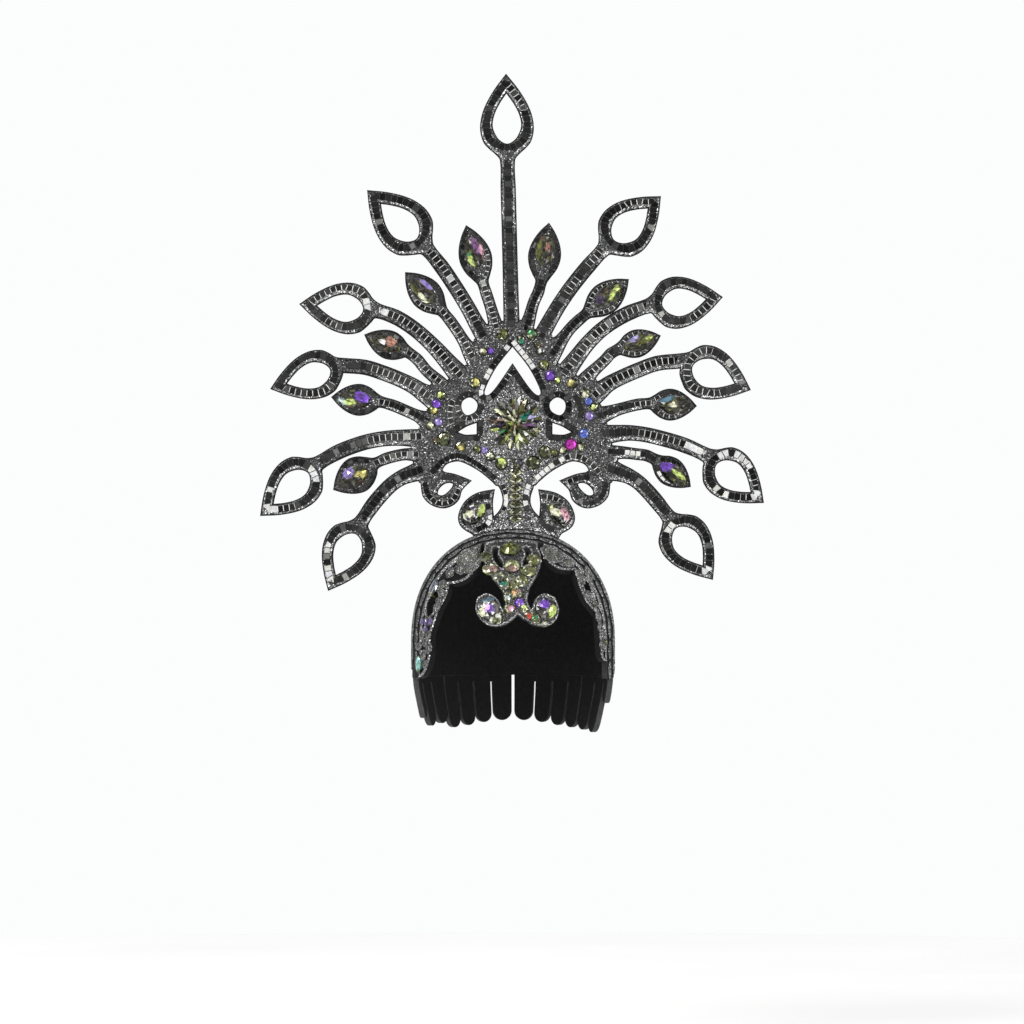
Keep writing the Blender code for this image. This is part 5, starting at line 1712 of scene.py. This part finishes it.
def make_ornament():
    """The plate on the cap's front: two arms, a stem and two scrolls, with its small stones."""
    draw = random.Random(SEEDS["ornament"])
    borders = bmesh.new()
    node = "forehead_ornament"
    looks = ("dark", "pale_edge", "inner")
    pierced_plate("ornament_plate", node, ORNAMENT_THICKNESS, looks, borders, ORNAMENT_BORDER)
    link_piece("ornament_borders", to_mesh(borders), ("silver",))
    pile = Pile()
    for x, drop, length, width, turn, name in ORNAMENT_STONES:
        outline = turned(ring(length, ORNAMENT_STONE_POINTS, width), math.radians(turn))
        tint = flashing(draw, name, Vector((0.0, 0.0)), length, MUTED)
        seat = cap_seat(on_rim(x, drop))
        add_stone(pile, seat, outline, ORNAMENT_STONE_HEIGHT, tint, ROUND_RINGS, ORNAMENT_STONE_SINK)
    pile.link("ornament_stones", "smoky_stone")


def make_forehead_stones():
    """The four large round stones of the ornament."""
    draw = random.Random(SEEDS["forehead"])
    for name, slot, x, drop, tones, streaks in FOREHEAD_STONES:
        low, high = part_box(name)
        size = high.x - low.x
        glints = []
        for across, up, length, width, turn, colour in streaks:
            place = Vector((across, up)) * size
            glints.append((place, length * size, width * size, math.radians(turn), colour))
        pile = Pile()
        seat = cap_seat(on_rim(x, drop), FOREHEAD_STONE_LIFT)
        outline = ring(size, FOREHEAD_STONE_POINTS)
        add_stone(pile, seat, outline, FOREHEAD_STONE_HEIGHT, stone_shade(draw, tones, glints), sink=0.0)
        pile.link(f"cut_{name}", slot, [name])


def comb_outline(side, start, pitch, tips):
    """The outline of a comb of strips with round tips, hanging from a band; flat.y runs down the cap."""
    half = (pitch - STRIP_GAP) / 2
    turns = [math.pi * step / STRIP_TIP_POINTS for step in range(STRIP_TIP_POINTS + 1)]
    outline = []
    for k, tip in enumerate(tips):
        centre = start - (k + 0.5) * pitch
        low = EQUATOR_WAY + tip * NAPE_DROP - half
        outline.append(Vector((side * (centre + half), EAR_WAY + STRIP_BAND)))
        outline += [Vector((side * (centre + half * math.cos(t)), low + half * math.sin(t))) for t in turns]
        outline.append(Vector((side * (centre - half), EAR_WAY + STRIP_BAND)))
    outline.append(Vector((outline[-1].x, EAR_WAY)))
    outline.append(Vector((outline[0].x, EAR_WAY)))
    return outline if area(outline) > 0 else outline[::-1]


def strip_surface(start, pitch, leans):
    """The surface of a comb of strips: each strip leans by a little of its own and is bowed across."""
    def surface(flat, height):
        point = back_point(flat)
        place = (start - abs(flat.x)) / pitch
        which = min(max(int(place), 0), len(leans) - 1)
        along = max(flat.y - EAR_WAY - STRIP_BAND, 0.0) / NAPE_DROP
        bow = STRIP_BOW * ((place - which - 0.5) * 2) ** 2 * min(along * STRIP_BOW_START, 1.0)
        return point + cap_normal(point) * (height + leans[which] * along * STRIP_LEAN_REACH - bow)
    return surface


def make_strips():
    """The combs of hanging foam strips, each strip with rounded edges."""
    draw = random.Random(SEEDS["strips"])
    for name, (side, first, last, tips) in STRIP_COMBS.items():
        pitch = math.radians(last - first) * HALF_WIDTH / len(tips)
        start = (math.pi - math.radians(first)) * HALF_WIDTH
        region = Region([dense_loop(comb_outline(side, start, pitch, tips), STRIP_STEP)])
        leans = [draw.uniform(-STRIP_LEAN, STRIP_LEAN) for _ in tips]
        surface = strip_surface(start, pitch, leans)
        comb = foam_sheet(region, surface, CAP_THICKNESS, CAP_EDGE_ROUND, STRIP_PITCH)
        link_piece(f"{name}_comb", comb, ("strip", "strip_edge", "inner"), [name])


def add_ridge(shape, path, width, height):
    """A low rounded ridge along an open path on the cap's back, closed at its ends."""
    rows = []
    for k, here in enumerate(path):
        across = across_of(path[min(k + 1, len(path) - 1)] - path[max(k - 1, 0)]) * width
        places_across = [(here + across * share, lift * height) for share, lift in RIDGE_SECTION]
        rows.append([shape.verts.new(BACK_SURFACE(*place)) for place in places_across])
    for _, _, corners in bands(rows):
        shape.faces.new(corners)
    shape.faces.new(rows[0])
    shape.faces.new(rows[-1][::-1])


def make_cap_back():
    """The plain dome behind the hoops: foam panels with glued seams and a border; its cut edge near black and
    its inside dark, as painted shade.
    """
    edge_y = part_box("cap_back")[0].y
    top = math.asin((edge_y / HALF_DEPTH) ** (CAP_ROUNDNESS / 2))
    ways = [top + (math.pi / 2 - top) * (k / BACK_EDGE_POINTS) ** 2 for k in range(BACK_EDGE_POINTS + 1)]
    edge = []
    for way in (*ways, EAR_WAY / CAP_DOME_RISE):
        share = math.sin(min(way, math.pi / 2)) ** (2 / CAP_ROUNDNESS)
        azimuth = math.acos(min((edge_y / (HALF_DEPTH * share)) ** (CAP_ROUNDNESS / 2), 1.0))
        edge.append(Vector((azimuth * HALF_WIDTH, way * CAP_DOME_RISE)))
    outline = dense_loop(edge + [Vector((-point.x, point.y)) for point in edge[:0:-1]], BACK_STEP)
    if area(outline) < 0:
        outline.reverse()
    dome = foam_sheet(Region([outline]), BACK_SURFACE, CAP_THICKNESS, CAP_EDGE_ROUND, BACK_STEP)
    link_piece("cap_back_dome", dome, ("cap", "gap", "inner"), ["cap_back"])
    seams = bmesh.new()
    length = EAR_WAY - top * CAP_DOME_RISE * SEAM_TOP
    for turn in SEAM_TURNS:
        path = []
        for k in range(SEAM_START, SEAM_POINTS + 1):
            across = math.radians(turn) * HALF_WIDTH * min(1.0, k / SEAM_SPREAD)
            path.append(Vector((across, EAR_WAY - length * (1 - k / SEAM_POINTS))))
        add_ridge(seams, path, *SEAM_SIZE)
    path = []
    for k in range(BACK_BORDER_POINTS + 1):
        path.append(Vector((edge[-1].x * (1 - 2 * k / BACK_BORDER_POINTS), EAR_WAY - BACK_BORDER_RISE)))
    add_ridge(seams, path, *BACK_BORDER_SIZE)
    link_piece("cap_back_seams", to_mesh(seams), ("pale_edge",))


# Camera, lights and floor

VIEW_PLACE = (-0.0009, 0.0217)
VIEW_DISTANCE = 6.0
VIEW_WIDTH = 0.901
VIEW_END = 50.0
SENSOR = 36.0
FLOOR_Z = -0.46
FLOOR_ACROSS = 3.6
FLOOR_POINTS = 64
FLOOR_COLOUR = (0.86, 0.86, 0.85)
FLOOR_ROUGHNESS = 0.9
FLOOR_GRAIN = (3.0, 3.0, 0.5)
FLOOR_TONES = ((0.3, (0.84, 0.84, 0.83)), (0.7, (0.88, 0.88, 0.87)))
WORLD_COLOUR = (0.975, 0.98, 0.985, 1.0)
# Soft square lights: place, what they aim at, size and power
LIGHTS = {
    "key": ((-1.6, -2.2, 1.9), (0.0, 0.0, 0.05), 1.2, 60.0),
    "fill": ((1.9, -2.0, 0.4), (0.0, 0.0, 0.0), 1.4, 25.0),
}


def link_plain(name, data):
    """Links an object that isn't a piece."""
    made = bpy.data.objects.new(name, data)
    bpy.context.scene.collection.objects.link(made)
    return made


def make_camera():
    camera = link_plain("camera", bpy.data.cameras.new("camera"))
    camera.data.lens = SENSOR * VIEW_DISTANCE / VIEW_WIDTH
    camera.data.clip_end = VIEW_END
    camera.location = (VIEW_PLACE[0], CREST_FRONT - VIEW_DISTANCE, VIEW_PLACE[1])
    camera.rotation_euler = (math.pi / 2, 0.0, 0.0)
    bpy.context.scene.camera = camera


def make_floor():
    """A plain pale round floor."""
    made, tree, shader = material("pale_floor", FLOOR_COLOUR, 0.0, FLOOR_ROUGHNESS)
    tree.links.new(ramp(tree, noise(tree, FLOOR_GRAIN), FLOOR_TONES), shader.inputs["Base Color"])
    mesh = bpy.data.meshes.new("floor")
    edge = [(point.x, point.y, FLOOR_Z) for point in ring(FLOOR_ACROSS, FLOOR_POINTS)]
    mesh.from_pydata(edge, [], [tuple(range(FLOOR_POINTS))])
    mesh.materials.append(made)
    floor = link_plain("floor", mesh)


def make_lights():
    """A bright even sky and two soft lights."""
    world = bpy.data.worlds.new("studio")
    world.use_nodes = True
    world.node_tree.nodes["Background"].inputs["Color"].default_value = WORLD_COLOUR
    bpy.context.scene.world = world
    bpy.context.scene.view_settings.view_transform = "Standard"
    for name, (place, aim, size, power) in LIGHTS.items():
        light = link_plain(name, bpy.data.lights.new(name, "AREA"))
        light.data.shape = "RECTANGLE"
        light.data.size, light.data.size_y = size, size
        light.data.energy = power
        light.location = place
        light.rotation_euler = (Vector(aim) - Vector(place)).to_track_quat("-Z", "Y").to_euler()


def main():
    region = crest_region()
    make_crest(region)
    make_tiles(region, [*make_big_stones(), *make_small_stones(), make_burst()])
    for name, (lift, leaf_table) in HOOPS.items():
        make_hoop(name, lift, leaf_table)
    make_rims()
    make_ornament()
    make_forehead_stones()
    make_strips()
    make_cap_back()
    # the brace is shown as its CAD node, in the strips' foam
    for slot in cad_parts["crest_brace"].material_slots:
        slot.material = MATERIALS["strip"]
    make_camera()
    make_floor()
    make_lights()


main()
